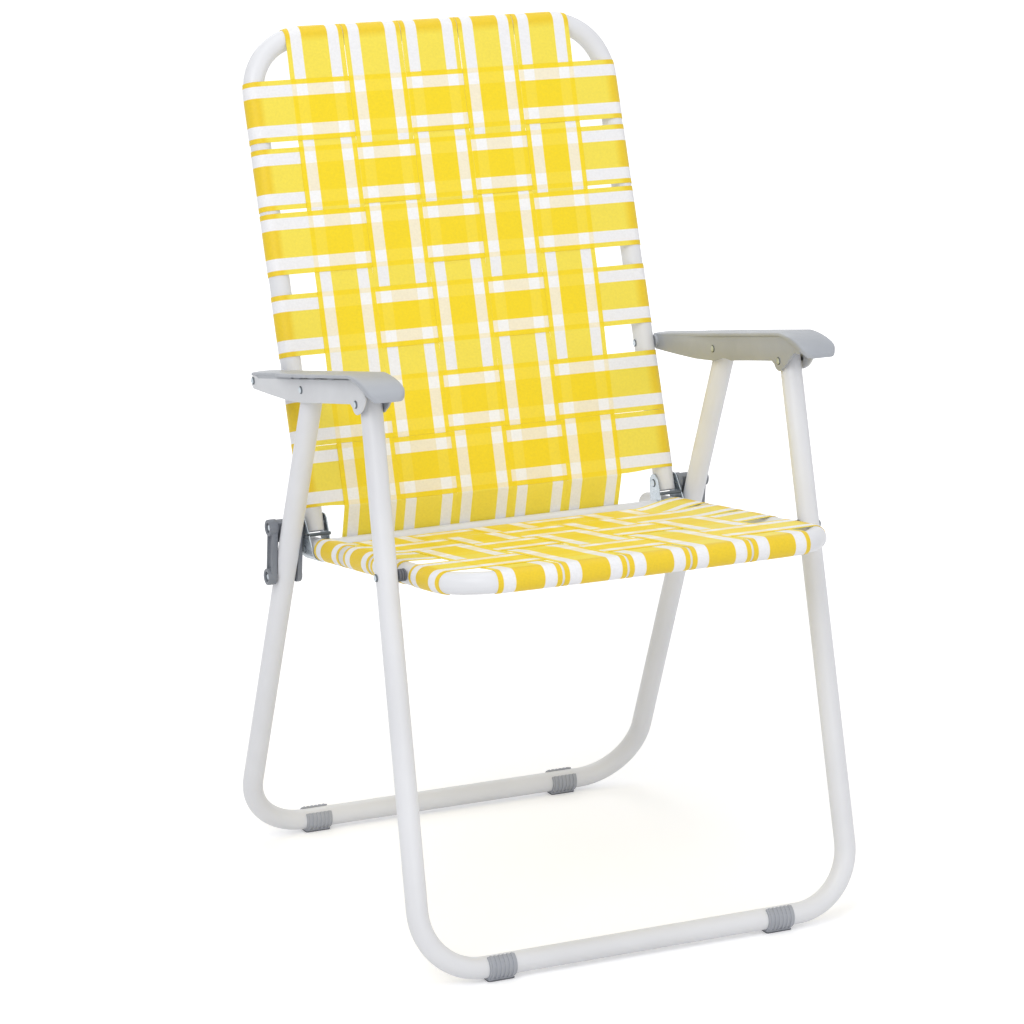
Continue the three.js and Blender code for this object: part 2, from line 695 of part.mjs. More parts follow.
// A ribbed clip round the floor bar, open above and flat below.
function makeFoot(name, x, barY) {
  const inner = tubeRadius + clearance;
  const outer = inner + footShell;
  const pitch = footLength / (footRibs * 2 + 1);
  const profile = [new THREE.Vector2(inner, 0)];
  for (let i = 0; i <= footRibs * 2; i += 1) {
    const radius = outer + (i % 2 === 1 ? footRibRise : 0);
    profile.push(new THREE.Vector2(radius, i * pitch), new THREE.Vector2(radius, (i + 1) * pitch));
  }
  profile.push(new THREE.Vector2(inner, footLength), new THREE.Vector2(inner, 0));
  const clip = latheAlong(profile, outerSides, (g) => {
    g.rotateZ(-Math.PI / 2);
    g.translate(-footLength / 2, 0, 0);
  });
  const pad = new THREE.BoxGeometry(footLength, footPadWidth, barHeight);
  pad.translate(0, 0, -barHeight / 2);
  const bore = rodAlongX(inner, -footLength, footLength, point(0, 0), outerSides);
  const spread = Math.tan(footMouthHalfAngle) * footLength;
  const mouth = new THREE.Shape();
  mouth.moveTo(0, 0);
  mouth.lineTo(spread, footLength);
  mouth.lineTo(-spread, footLength);
  mouth.closePath();
  const opening = solid(sidePlate(mouth, -footLength, footLength));
  const foot = geometryOf(cut(join(clip, solid(pad)), bore, opening));
  const mesh = new THREE.Mesh(foot, darkGreyPlastic);
  mesh.name = name;
  mesh.position.set(x, barY, barHeight);
  chair.add(mesh);
}

// A strap seen on edge: its middle line becomes a thin closed outline.
function ribbon(points) {
  const half = strapThickness / 2;
  const offset = points.map((p, i) => {
    const before = points[Math.max(i - 1, 0)];
    const after = points[Math.min(i + 1, points.length - 1)];
    const a = new THREE.Vector2().subVectors(p, before);
    const b = new THREE.Vector2().subVectors(after, p);
    const wayIn = i === 0 ? b : a;
    const wayOut = i === points.length - 1 ? a : b;
    const bisector = wayIn.clone().normalize().add(wayOut.clone().normalize()).normalize();
    const stretch = half / Math.max(bisector.dot(wayIn.normalize()), 0.5);
    return new THREE.Vector2(-bisector.y * stretch, bisector.x * stretch);
  });
  const over = points.map((p, i) => p.clone().add(offset[i]));
  const under = points.map((p, i) => p.clone().sub(offset[i])).reverse();
  return new THREE.Shape([...over, ...under]);
}
const flat = (u, v) => new THREE.Vector2(u, v);
const strapSeat = tubeRadius + clearance + strapThickness / 2; // tube middle to strap middle

function arcPoints(centre, radius, from, to, steps) {
  const points = [];
  for (let i = 0; i <= steps; i += 1) {
    const angle = THREE.MathUtils.lerp(from, to, i / steps);
    points.push(flat(centre.x + radius * Math.cos(angle), centre.y + radius * Math.sin(angle)));
  }
  return points;
}

// Over and under the straps that it crosses. Each crossing has a middle, a height and a lift.
function weave(crossings) {
  const reach = strapWidth / 2 + edgeMargin;
  return crossings.flatMap(({ middle, height, lift, way }) => [
    flat(middle - way * reach, height + lift),
    flat(middle + way * reach, height + lift),
  ]);
}
const lengthwise = Array.from({ length: lengthwiseCount }, (_, i) => i);
const strapX = (i) => meanPitch * (i - (lengthwiseCount - 1) / 2);

// A cross strap: round one side tube, over and under, and round the other.
function crossStrap(crossOnTop, dip, seat) {
  const height = strapSeat - dip;
  const first = strapX(0) - strapWidth / 2;
  const slope = Math.atan2(seat - height, first + panelHalfWidth);
  const left = flat(-panelHalfWidth, 0);
  const right = flat(panelHalfWidth, 0);
  const top = Math.PI / 2;
  const crossings = lengthwise.map((i) => ({
    middle: strapX(i),
    height,
    lift: crossOnTop(i) ? weaveLift : -weaveLift,
    way: 1,
  }));
  const points = [
    ...arcPoints(left, seat, top + wrapSweep, top - slope, wrapSteps),
    ...weave(crossings),
    ...arcPoints(right, seat, top + slope, top - wrapSweep, wrapSteps),
  ];
  return ribbon(points);
}

// Where a strap lies over a bend it is made in more pieces and sits a little higher.
function seatingOver(bend, usual = 1) {
  return bend ? { steps: cornerSteps, seat: strapSeat + clearance / 2 } : { steps: usual, seat: strapSeat };
}

// Moves every corner of a geometry.
function reshape(geometry, move) {
  const places = geometry.getAttribute("position");
  const at = new THREE.Vector3();
  for (let k = 0; k < places.count; k += 1) {
    at.fromBufferAttribute(places, k);
    move(at);
    places.setXYZ(k, at.x, at.y, at.z);
  }
  geometry.computeVertexNormals();
}

// How far a tube has turned in, beyond the start of a bend, at an offset from its middle line.
function turnedIn(beyond, radius, offset) {
  if (beyond <= 0) return 0;
  const reach = radius + offset;
  return reach - Math.sqrt(Math.max(reach ** 2 - beyond ** 2, 0));
}

// The straps' places across the chair, between a panel's two ends.
function fanned(x, share, near, far) {
  const pitch = THREE.MathUtils.lerp(near.pitch, far.pitch, share);
  return THREE.MathUtils.lerp(near.offset, far.offset, share) + (x * pitch) / meanPitch;
}
const webEdge = strapX(lengthwiseCount - 1) + strapWidth / 2 + edgeMargin * 2;

const seatBendTurn = Math.PI / 2 - Math.atan2(seatFrontBow, panelHalfWidth);
const seatBendReach = seatBendRadius * Math.tan(seatBendTurn / 2);
const seatSideBend = seatFrontBow - seatReach + seatBendReach; // where the rail starts to turn
const backShare = (z) => {
  const low = backPlane.local(crossbarPlace()).z;
  return (z - low) / (backHeight - low);
};
const seatShare = (y) => (crossbar.y - y) / (crossbar.y + seatReach);

function crossbarPlace() {
  return point(
    railOrigin.y + crossbar.y * Math.cos(seatTilt),
    railOrigin.z - crossbar.y * Math.sin(seatTilt),
  );
}

function makeBackCrossStraps() {
  const facing = new THREE.Matrix4().makeBasis(vector(1, 0, 0), vector(0, -1, 0), vector(0, 0, -1));
  backRows.forEach((row, j) => {
    const bend = backHeight - backBendRadius;
    const { steps, seat } = seatingOver(row + strapWidth / 2 > bend);
    const shape = crossStrap((i) => (i + j) % 2 === 0, 0, seat);
    const geometry = new THREE.ExtrudeGeometry(shape, { depth: strapWidth, bevelEnabled: false, steps });
    geometry.applyMatrix4(facing);
    geometry.translate(0, 0, row + strapWidth / 2);
    reshape(geometry, (at) => {
      if (Math.abs(at.x) < webEdge) at.x = fanned(at.x, backShare(at.z), crossbarSpread, topSpread);
      else at.x -= Math.sign(at.x) * turnedIn(at.z - bend, backBendRadius, Math.abs(at.x) - panelHalfWidth);
    });
    add(backGroup, "back_cross_strap_" + (j + 1), geometry, yellowWebbing);
  });
}

function makeSeatCrossStraps() {
  const facing = new THREE.Matrix4().makeBasis(vector(1, 0, 0), vector(0, 0, 1), vector(0, -1, 0));
  seatRows.forEach((row, j) => {
    const { steps, seat } = seatingOver(row - strapWidth / 2 < seatSideBend);
    const shape = crossStrap((i) => (i + j) % 2 === 1, seatDips[j], seat);
    const geometry = new THREE.ExtrudeGeometry(shape, { depth: strapWidth, bevelEnabled: false, steps });
    geometry.applyMatrix4(facing);
    geometry.translate(0, row + strapWidth / 2, 0);
    reshape(geometry, (at) => {
      const beyond = seatSideBend - at.y;
      if (Math.abs(at.x) < webEdge) at.x = fanned(at.x, seatShare(at.y), crossbarSpread, frontSpread);
      else at.x -= Math.sign(at.x) * turnedIn(beyond, seatBendRadius, Math.abs(at.x) - panelHalfWidth);
    });
    add(seatGroup, "seat_cross_strap_" + (j + 1), geometry, yellowWebbing);
  });
}

// Each lengthwise strap runs on from the back to the seat behind and under the crossbar. It is made
// in two lengths there, because each length moves with its own frame.
const crossbarSeat = crossbarRadius + clearance + strapThickness / 2;
const strapSeamGap = clearance / crossbarSeat;
const backToSeat = recline - seatTilt;

function makeBackStraps() {
  const bar = backPlane.local(crossbarPlace());
  const bend = panelHalfWidth - backBendRadius;
  lengthwise.forEach((i) => {
    const crossings = backRows
      .map((row, j) => ({
        middle: row,
        height: strapSeat,
        lift: (i + j) % 2 === 0 ? -weaveLift : weaveLift,
        way: 1,
      }))
      .reverse();
    const { steps, seat } = seatingOver(i === 0 || i === lengthwiseCount - 1);
    const points = [
      ...arcPoints(flat(bar.y, bar.z), crossbarSeat, strapSeamGap, crossbarWrapAbove, 2),
      ...weave(crossings).map((p) => flat(-p.y, p.x)),
      ...arcPoints(flat(0, backHeight), seat, Math.PI, Math.PI - wrapSweep, wrapSteps),
    ];
    const x = strapX(i) - strapWidth / 2;
    const geometry = sidePlate(ribbon(points), x, x + strapWidth, { steps });
    reshape(geometry, (at) => {
      at.x = fanned(at.x, backShare(at.z), crossbarSpread, topSpread);
      if (at.z > backHeight - strapSeat * 2) {
        at.z -= turnedIn(Math.abs(at.x) - bend, backBendRadius, at.z - backHeight);
      }
    });
    add(backGroup, "back_strap_" + (i + 1), geometry, yellowWebbing);
  });
}

// The front bar's middle line, across the chair: bowed, then turned in at the corners.
function frontBarY(x, offset) {
  const bowTurn = Math.atan2(seatFrontBow, panelHalfWidth);
  const bend = panelHalfWidth - seatBendReach * Math.cos(bowTurn);
  const bowSag = seatFrontBowRadius / Math.cos(bowTurn) - seatFrontBowRadius;
  const inside = Math.min(Math.abs(x), bend);
  const bowed = bowSag + turnedIn(inside, seatFrontBowRadius, 0);
  const beyond = Math.abs(x) - bend;
  if (beyond <= 0) return bowed;
  const entry = seatBendRadius * Math.sin(bowTurn);
  const turned = turnedIn(beyond + entry, seatBendRadius, offset) - turnedIn(entry, seatBendRadius, offset);
  return bowed + turned;
}

function makeSeatStraps() {
  const start = -backToSeat - strapSeamGap;
  const bar = flat(crossbar.y, crossbar.z);
  const top = Math.PI / 2;
  lengthwise.forEach((i) => {
    const crossings = seatRows.map((row, j) => ({
      middle: row,
      height: strapSeat - seatDips[j],
      lift: (i + j) % 2 === 1 ? -weaveLift : weaveLift,
      way: -1,
    }));
    const { steps, seat } = seatingOver(i === 0 || i === lengthwiseCount - 1, 2);
    const points = [
      ...arcPoints(bar, crossbarSeat, start, -crossbarWrapBelow, bendSteps),
      ...weave(crossings),
      ...arcPoints(flat(-seatReach, 0), seat, top, top + wrapSweep, wrapSteps),
    ];
    const x = strapX(i) - strapWidth / 2;
    const geometry = sidePlate(ribbon(points), x, x + strapWidth, { steps });
    const lastRow = seatRows[seatRows.length - 1] - strapWidth / 2 - edgeMargin * 2;
    reshape(geometry, (at) => {
      at.x = fanned(at.x, seatShare(at.y), crossbarSpread, frontSpread);
      if (at.y < lastRow) at.y += frontBarY(at.x, -seatReach - at.y);
    });
    add(seatGroup, "seat_strap_" + (i + 1), geometry, yellowWebbing);
  });
}

makeBackFrame();
makeSeatFrame();
makeFrontLegFrame();
makeRearLegFrame();
makeCrossbar();
sides.forEach(makeBracket);
sides.forEach(makeRailPlug);
sides.forEach(makeFasteners);
sides.forEach(makeLink);
sides.forEach(makeArmrest);
sides.forEach(({ name, side }) => makeFoot("front_foot_" + name, side * frontFootX + footShift, frontFootY));
sides.forEach(({ name, side }) => makeFoot("rear_foot_" + name, side * rearFootX + footShift, rearFootY));
makeBackCrossStraps();
makeSeatCrossStraps();
makeBackStraps();
makeSeatStraps();

export default chair;
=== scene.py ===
"""The looks of the folding webbed lawn chair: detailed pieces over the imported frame."""
import math
from math import radians

import bmesh
import bpy
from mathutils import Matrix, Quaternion, Vector


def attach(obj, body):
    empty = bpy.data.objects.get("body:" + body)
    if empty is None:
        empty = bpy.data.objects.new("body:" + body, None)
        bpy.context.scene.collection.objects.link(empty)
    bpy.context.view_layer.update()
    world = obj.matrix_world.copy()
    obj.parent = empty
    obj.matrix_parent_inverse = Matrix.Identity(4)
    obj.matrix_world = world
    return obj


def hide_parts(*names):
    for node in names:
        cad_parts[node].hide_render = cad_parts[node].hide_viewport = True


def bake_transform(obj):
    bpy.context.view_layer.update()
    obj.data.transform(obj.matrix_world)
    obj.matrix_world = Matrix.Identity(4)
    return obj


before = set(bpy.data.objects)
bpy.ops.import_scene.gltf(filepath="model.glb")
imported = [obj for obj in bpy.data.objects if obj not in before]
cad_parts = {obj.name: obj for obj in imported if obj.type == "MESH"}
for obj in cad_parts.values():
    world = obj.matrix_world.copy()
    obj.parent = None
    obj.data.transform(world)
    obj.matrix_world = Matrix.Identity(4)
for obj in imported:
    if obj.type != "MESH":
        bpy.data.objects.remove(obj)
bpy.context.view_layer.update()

# Sizes are in millimetres and angles in degrees, in the CAD's own frame.
MM = 0.001
SIDES = {"left": -1, "right": 1}
TUBE, WALL = 11.0, 1.0  # outer radius and wall of the frame tubes
FIT = 0.3  # between pieces that touch

# The tubes' middles, across the chair.
PANEL_X = 205.1  # back and seat frames
REAR_LEG_X = 235.4
FRONT_FOOT_X, FRONT_TOP_X = 241.2, 233.0
ARM_IN, ARM_OUT = 219.4, 249.1  # the faces of an armrest's skirts

# Webbing.
SHEET = 0.5  # thickness
WEB_GAP = 0.08  # between a strap and the tube it goes round
HALF = 32.3  # half the width of a strap
LIFT = 0.3  # how far a strap rises or dips where it crosses another
ON_TUBE = TUBE + SHEET / 2 + WEB_GAP  # from a tube's middle to the middle of a strap


class Plane:
    """A tilted plane: its own Y to the rear and Z up, both turned about X."""

    def __init__(self, origin, angle):
        self.origin = origin
        self.cos, self.sin = math.cos(radians(angle)), math.sin(radians(angle))

    def world(self, x, y, z):
        return (
            x,
            self.origin[0] + y * self.cos - z * self.sin,
            self.origin[1] + y * self.sin + z * self.cos,
        )

    def local(self, p):
        y, z = p[0] - self.origin[0], p[1] - self.origin[1]
        return (y * self.cos + z * self.sin, z * self.cos - y * self.sin)


# Pivots and floor bars, seen from the side: (Y, Z).
RECLINE, SEAT_TILT, FRONT_LEAN, REAR_LEAN = 19.1, 7.64, 13.85, 21.67
BAR_HEIGHT = 14.0
FRONT_BAR, REAR_BAR = (-260.42, BAR_HEIGHT), (226.48, BAR_HEIGHT)
HINGE = (95.48, 384.6)
ARM_REAR = (145.656, 529.5)
ARM_MIDDLE = (15.094, 546.0)
ARM_FRONT = (-125.804, 560.0)
SEAT_PIVOT = (-166.386, 395.4)
LINK_FOOT = (100.523, 331.0)
PIVOT_RISE = 1.7  # the seat pivot over the middle of the rail
RAIL_ORIGIN = (
    SEAT_PIVOT[0] - PIVOT_RISE * math.sin(radians(SEAT_TILT)),
    SEAT_PIVOT[1] - PIVOT_RISE * math.cos(radians(SEAT_TILT)),
)
back = Plane(HINGE, -RECLINE)
seat = Plane(RAIL_ORIGIN, -SEAT_TILT)
front_leg = Plane(FRONT_BAR, -FRONT_LEAN)
rear_leg = Plane(REAR_BAR, REAR_LEAN)
level = Plane((0, 0), 0)

# Frames, along their own planes.
BACK_HEIGHT, BACK_TAIL = 509.4, 9.1
SEAT_REACH, SEAT_TAIL = 108.5, 301.5
BOW, BOW_RADIUS = 9.3, 2870.0
BACK_BEND, SEAT_BEND, FRONT_BEND, REAR_BEND = 60.0, 46.0, 64.0, 68.0
SEAT_HINGE = seat.local(HINGE)
CROSSBAR = (SEAT_HINGE[0] - 4.7, 0.0)
CROSSBAR_RADIUS = 8.0
ON_CROSSBAR = CROSSBAR_RADIUS + SHEET / 2 + WEB_GAP
LEG_END = 7.5  # tube above the pivot in the arm
LEG_TOP_FRONT = front_leg.local(ARM_FRONT)[1] + LEG_END
LEG_TOP_REAR = rear_leg.local(ARM_MIDDLE)[1] + LEG_END


def lerp(a, b, t):
    return a + (b - a) * t


def smooth(t):
    t = min(max(t, 0.0), 1.0)
    return t * t * (3 - 2 * t)


# ---------- shapes
# A shape is a pair: points in millimetres and faces.
def joined(*shapes):
    points, faces = [], []
    for more_points, more_faces in shapes:
        base = len(points)
        points += more_points
        faces += [tuple(base + k for k in face) for face in more_faces]
    return points, faces


def skin(rings, caps=True):
    """Faces between closed rings that all have the same count of points."""
    points = [p for ring in rings for p in ring]
    count = len(rings[0])
    faces = []
    for i in range(len(rings) - 1):
        for k in range(count):
            a, b = i * count + k, i * count + (k + 1) % count
            faces.append((a, b, b + count, a + count))
    if caps:
        faces.append(tuple(range(count)))
        faces.append(tuple(range(len(points) - count, len(points))))
    return points, faces


def circle(sides):
    """Cosines and sines of equal steps, once round."""
    turns = [2 * math.pi * k / sides for k in range(sides)]
    return [(math.cos(turn), math.sin(turn)) for turn in turns]


def spot(centre, radius, angle):
    """A point at an angle round a centre."""
    turn = radians(angle)
    return (centre[0] + radius * math.cos(turn), centre[1] + radius * math.sin(turn))


def arc(centre, radius, start, end, steps):
    """Points round a centre, from one angle to another."""
    return [spot(centre, radius, lerp(start, end, k / steps)) for k in range(steps + 1)]


def turned(profile, at, side=1, sides=28, plane=level):
    """A turned body about an X line: the profile's pairs are (distance along X, radius)."""
    return skin([[plane.world(side * along, at[0] + radius * c, at[1] + radius * s)
                  for c, s in circle(sides)] for along, radius in profile])


def inset(outline, distance):
    """A closed outline moved inwards. It runs anticlockwise."""
    found = []
    count = len(outline)
    tiny = 1e-6
    for k in range(count):
        a, b, c = Vector(outline[k - 1]), Vector(outline[k]), Vector(outline[(k + 1) % count])
        first, second = (b - a), (c - b)
        if first.length < tiny or second.length < tiny:
            first = second = first if first.length > second.length else second
        first.normalize()
        second.normalize()
        normal = Vector((-first.y - second.y, first.x + second.x))
        if normal.length < tiny:
            normal = Vector((-first.y, first.x))
        normal.normalize()
        spread = max(normal.dot(Vector((-first.y, first.x))), 0.5)
        found.append(tuple(b + normal * distance / spread))
    return found


def anticlockwise(outline):
    area = sum(
        outline[k - 1][0] * outline[k][1] - outline[k][0] * outline[k - 1][1]
        for k in range(len(outline))
    )
    return outline[::-1] if area < 0 else outline


def plate(outline, side, start, end, edge=0.5, plane=level):
    """A flat plate seen from the side, with rounded edges. Its thickness is along X."""
    outline = anticlockwise(outline)
    low, high = min(side * start, side * end), max(side * start, side * end)
    steps = 3
    places = []
    for k in range(steps + 1):
        turn = radians(90 * k / steps)
        x, way = low + edge * (1 - math.sin(turn)), edge * (1 - math.cos(turn))
        places += [(x, way), (high - (x - low), way)]
    places.sort()
    return skin([[plane.world(x, y, z) for y, z in inset(outline, way)] for x, way in places])


def route(corners, radii, steps=22):
    """Places and directions along straight runs with rounded corners."""
    corners = [Vector(c) for c in corners]
    stations = [(corners[0], (corners[1] - corners[0]).normalized())]
    for i, radius in enumerate(radii):
        corner = corners[i + 1]
        way_in = (corner - corners[i]).normalized()
        way_out = (corners[i + 2] - corner).normalized()
        turn = way_in.angle(way_out)
        axis = way_in.cross(way_out).normalized()
        start = corner - way_in * radius * math.tan(turn / 2)
        spoke = axis.cross(way_in) * -radius
        for k in range(steps + 1):
            rotation = Quaternion(axis, turn * k / steps)
            spin, heading = Vector(spoke), Vector(way_in)
            spin.rotate(rotation)
            heading.rotate(rotation)
            stations.append((start - spoke + spin, heading))
    stations.append((corners[-1], (corners[-1] - corners[-2]).normalized()))
    return stations


def tube(stations, normal, plane):
    """A hollow tube along a flat route. Its open ends have a rounded lip and a deep bore."""
    normal = Vector(normal)
    rings = []

    def ring(at, way, radius):
        across = normal.cross(way)
        rings.append([
            plane.world(*(at + across * radius * c + normal * radius * s)) for c, s in circle(40)
        ])

    (first, first_way), (last, last_way) = stations[0], stations[-1]
    lip = WALL / 2
    bore, depth = TUBE - WALL, 60.0
    mouth = [(depth, bore), (lip, bore), (lip * 0.3, bore + lip * 0.3), (0, bore + lip),
             (lip * 0.3, TUBE - lip * 0.3), (lip, TUBE)]
    for back_off, radius in mouth:
        ring(first + first_way * back_off, first_way, radius)
    for at, way in stations[1:-1]:
        ring(at, way, TUBE)
    for back_off, radius in reversed(mouth):
        ring(last - last_way * back_off, last_way, radius)
    return skin(rings)


# ---------- pieces
def add_object(name, data):
    thing = bpy.data.objects.new(name, data)
    bpy.context.scene.collection.objects.link(thing)
    return thing


def piece(name, shape, body, finish, *nodes, uvs=None, sharp=32):
    """A named mesh that rides on a body and stands for its CAD nodes. A finish is a slot and its
    materials; the slot is not used. Faces turned by more than the sharp angle get a hard edge."""
    points, faces = shape
    mesh = bpy.data.meshes.new(name)
    mesh.from_pydata([tuple(c * MM for c in p) for p in points], [], faces)
    builder = bmesh.new()
    builder.from_mesh(mesh)
    bmesh.ops.recalc_face_normals(builder, faces=builder.faces)
    builder.to_mesh(mesh)
    builder.free()
    for layer_name, values in (uvs or {}).items():
        layer = mesh.uv_layers.new(name=layer_name)
        for loop in mesh.loops:
            layer.data[loop.index].uv = values[loop.vertex_index]
    mesh.shade_smooth()
    mesh.set_sharp_from_angle(angle=radians(sharp))
    slot, *materials = finish
    for material in materials:
        mesh.materials.append(material)
    mesh.update()
    thing = add_object(name, mesh)
    if body:
        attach(thing, body)
    if nodes:
        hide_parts(*nodes)
    return thing


# ---------- materials
def srgb(r, g, b):
    """A colour as it looks, from 0 to 255, for a shader."""
    found = []
    for value in (r, g, b):
        c = value / 255
        found.append(c / 12.92 if c <= 0.04045 else ((c + 0.055) / 1.055) ** 2.4)
    return (*found, 1.0)


class Graph:
    """The nodes of a material or of the world, and its shader's inputs."""

    def __init__(self, owner, shader="Principled BSDF"):
        owner.use_nodes = True
        self.owner, self.tree = owner, owner.node_tree
        self.inputs = self.tree.nodes[shader].inputs

    def put(self, value, socket):
        if isinstance(value, bpy.types.NodeSocket):
            self.tree.links.new(value, socket)
        else:
            socket.default_value = value

    def node(self, kind, inputs=None, out=0, **settings):
        made = self.tree.nodes.new(kind)
        for key, value in settings.items():
            setattr(made, key, value)
        for key, value in (inputs or {}).items():
            self.put(value, made.inputs[key])
        return made.outputs[out]

    def math(self, operation, *values):
        return self.node("ShaderNodeMath", dict(enumerate(values)), operation=operation)

    def mix(self, share, a, b):
        return self.node("ShaderNodeMix", {0: share, 6: a, 7: b}, out=2, data_type="RGBA")

    def ramp(self, value, low, high, to_low=0.0, to_high=1.0):
        inputs = {0: value, 1: low, 2: high, 3: to_low, 4: to_high}
        return self.node("ShaderNodeMapRange", inputs)

    def place(self):
        """A point in the piece's own space, in metres."""
        return self.node("ShaderNodeTexCoord", out=3)

    def noise(self, scale, detail=3.0, stretch=None):
        place = self.place()
        if stretch:
            place = self.node("ShaderNodeVectorMath", {0: place, 1: stretch}, operation="MULTIPLY")
        return self.node("ShaderNodeTexNoise", {"Vector": place, "Scale": scale, "Detail": detail})

    def bump(self, height, strength, distance=0.0002):
        inputs = {"Height": height, "Strength": strength, "Distance": distance}
        return self.node("ShaderNodeBump", inputs)

    def seen(self):
        """1 for rays from the camera, off gloss or through glass, and 0 for the rest."""
        rays = self.tree.nodes.new("ShaderNodeLightPath").outputs
        direct = self.math("MAXIMUM", rays["Is Camera Ray"], rays["Is Glossy Ray"])
        return self.math("MAXIMUM", direct, rays["Is Transmission Ray"])

    def finish(self, **values):
        """Sets the shader's inputs by name and gives back the material."""
        for key, value in values.items():
            self.put(value, self.inputs[key.replace("_", " ").title().replace("Ior", "IOR")])
        return self.owner


def painted(name, dark, light, rough):
    g = Graph(bpy.data.materials.new(name))
    return g.finish(
        base_color=g.mix(g.ramp(g.noise(9.0), 0.35, 0.65), srgb(*dark), srgb(*light)),
        roughness=g.ramp(g.noise(60.0), 0.3, 0.7, rough - 0.05, rough + 0.06),
        normal=g.bump(g.noise(900.0, 2.0), 0.12),
        coat_weight=0.12, coat_roughness=0.15, specular_ior_level=0.35,
    )


def moulded(name, dark, light, rough):
    g = Graph(bpy.data.materials.new(name))
    return g.finish(
        base_color=g.mix(g.ramp(g.noise(18.0), 0.3, 0.7), srgb(*dark), srgb(*light)),
        roughness=g.ramp(g.noise(140.0), 0.3, 0.7, rough - 0.06, rough + 0.06),
        normal=g.bump(g.noise(2200.0, 2.0), 0.25),
    )


def plated(name, dark, light, rough):
    g = Graph(bpy.data.materials.new(name))
    streaks = g.noise(220.0, 4.0, stretch=(1.0, 0.25, 2.5))
    return g.finish(
        base_color=g.mix(g.ramp(g.noise(70.0), 0.3, 0.7), srgb(*dark), srgb(*light)),
        roughness=g.ramp(streaks, 0.25, 0.75, rough - 0.08, rough + 0.1),
        normal=g.bump(streaks, 0.08),
        metallic=0.75,
    )


# A strap's first UV layer is the place on the strap. The second one counts the straps it crosses:
# each takes a cell, and the place in the cell is the place across the strap behind or in front.
CELL = 100.0
RIB_ACROSS, RIB_ALONG = 1.27, 1.5  # pitch of the weave


def webbing():
    """Striped plastic webbing. Where two straps cross, the one behind shows through a little."""
    g = Graph(bpy.data.materials.new("striped_webbing"))
    own_x = g.node("ShaderNodeSeparateXYZ", {0: g.node("ShaderNodeUVMap", uv_map="UVMap")})
    own_y = own_x.node.outputs[1]
    under_x = g.node("ShaderNodeSeparateXYZ", {0: g.node("ShaderNodeUVMap", uv_map="under")})
    wrapped_round = under_x.node.outputs[1]
    cell = g.math("FLOORED_MODULO", g.math("ADD", under_x, CELL / 2), CELL)
    crossing_x = g.math("SUBTRACT", cell, CELL / 2)

    def white_stripes(across):
        """A yellow middle, a white stripe on each side and a yellow edge."""
        away = g.math("ABSOLUTE", across)
        return g.math("MULTIPLY", g.ramp(away, 14.5, 15.1), g.ramp(away, 26.8, 27.4, 1.0, 0.0))

    own_white, under_white = white_stripes(own_x), white_stripes(crossing_x)
    covered = g.ramp(g.math("ABSOLUTE", crossing_x), HALF - 0.3, HALF + 0.3, 1.0, 0.0)
    yellow_over = g.mix(under_white, srgb(244, 215, 10), srgb(245, 219, 54))
    yellow_alone = g.mix(wrapped_round, srgb(242, 222, 76), srgb(235, 202, 34))
    white_over = g.mix(under_white, srgb(243, 234, 208), srgb(245, 245, 246))
    yellow = g.mix(covered, yellow_alone, yellow_over)
    white = g.mix(covered, srgb(238, 238, 241), white_over)
    across_ribs = g.math("SINE", g.math("MULTIPLY", own_x, 2 * math.pi / RIB_ACROSS))
    along_ribs = g.math("SINE", g.math("MULTIPLY", own_y, 2 * math.pi / RIB_ALONG))
    ribs = g.math("ADD", g.math("MULTIPLY", across_ribs, 0.62),
                  g.math("MULTIPLY", along_ribs, 0.38))
    mottle = g.noise(420.0, 2.0)
    tone = g.math("ADD", g.math("MULTIPLY", ribs, 0.05), g.ramp(mottle, 0.2, 0.8, -0.045, 0.045))
    inputs = {0: g.mix(own_white, yellow, white), "Scale": g.math("ADD", tone, 1.0)}
    return g.finish(
        base_color=g.node("ShaderNodeVectorMath", inputs, operation="SCALE"),
        normal=g.bump(ribs, 0.45, 0.00014),
        roughness=g.ramp(mottle, 0.3, 0.7, 0.42, 0.56),
        specular_ior_level=0.5,
    )


white_paint = painted("white_paint", (221, 222, 226), (227, 228, 232), 0.36)
cap_plastic = moulded("white_cap_plastic", (216, 217, 221), (225, 225, 229), 0.42)
grey_plastic = moulded("grey_plastic", (160, 164, 171), (171, 175, 182), 0.4)
# A lighter copy of the grey plastic: painted light on the armrests' outer skirts.
painted_light_plastic = moulded("grey_plastic_painted_light", (207, 209, 213), (214, 216, 220), 0.42)
dark_plastic = moulded("dark_grey_plastic", (118, 122, 130), (130, 134, 141), 0.5)
foot_plastic = moulded("foot_plastic", (160, 163, 171), (171, 174, 182), 0.48)
sole_plastic = moulded("sole_plastic", (92, 95, 101), (108, 111, 118), 0.6)
zinc = plated("zinc_plate", (172, 182, 190), (208, 216, 222), 0.3)
# A darker copy of the zinc: painted shade on the bracket's inward faces.
inside_shade_zinc = plated("zinc_painted_inside_shade", (118, 127, 134), (160, 170, 178), 0.3)
# A darker copy of the zinc: painted shadow round the rivet heads' brims and painted shade on the
# stop rods.
painted_shadow_zinc = plated("zinc_painted_shadow", (84, 90, 96), (108, 115, 121), 0.45)
web = webbing()


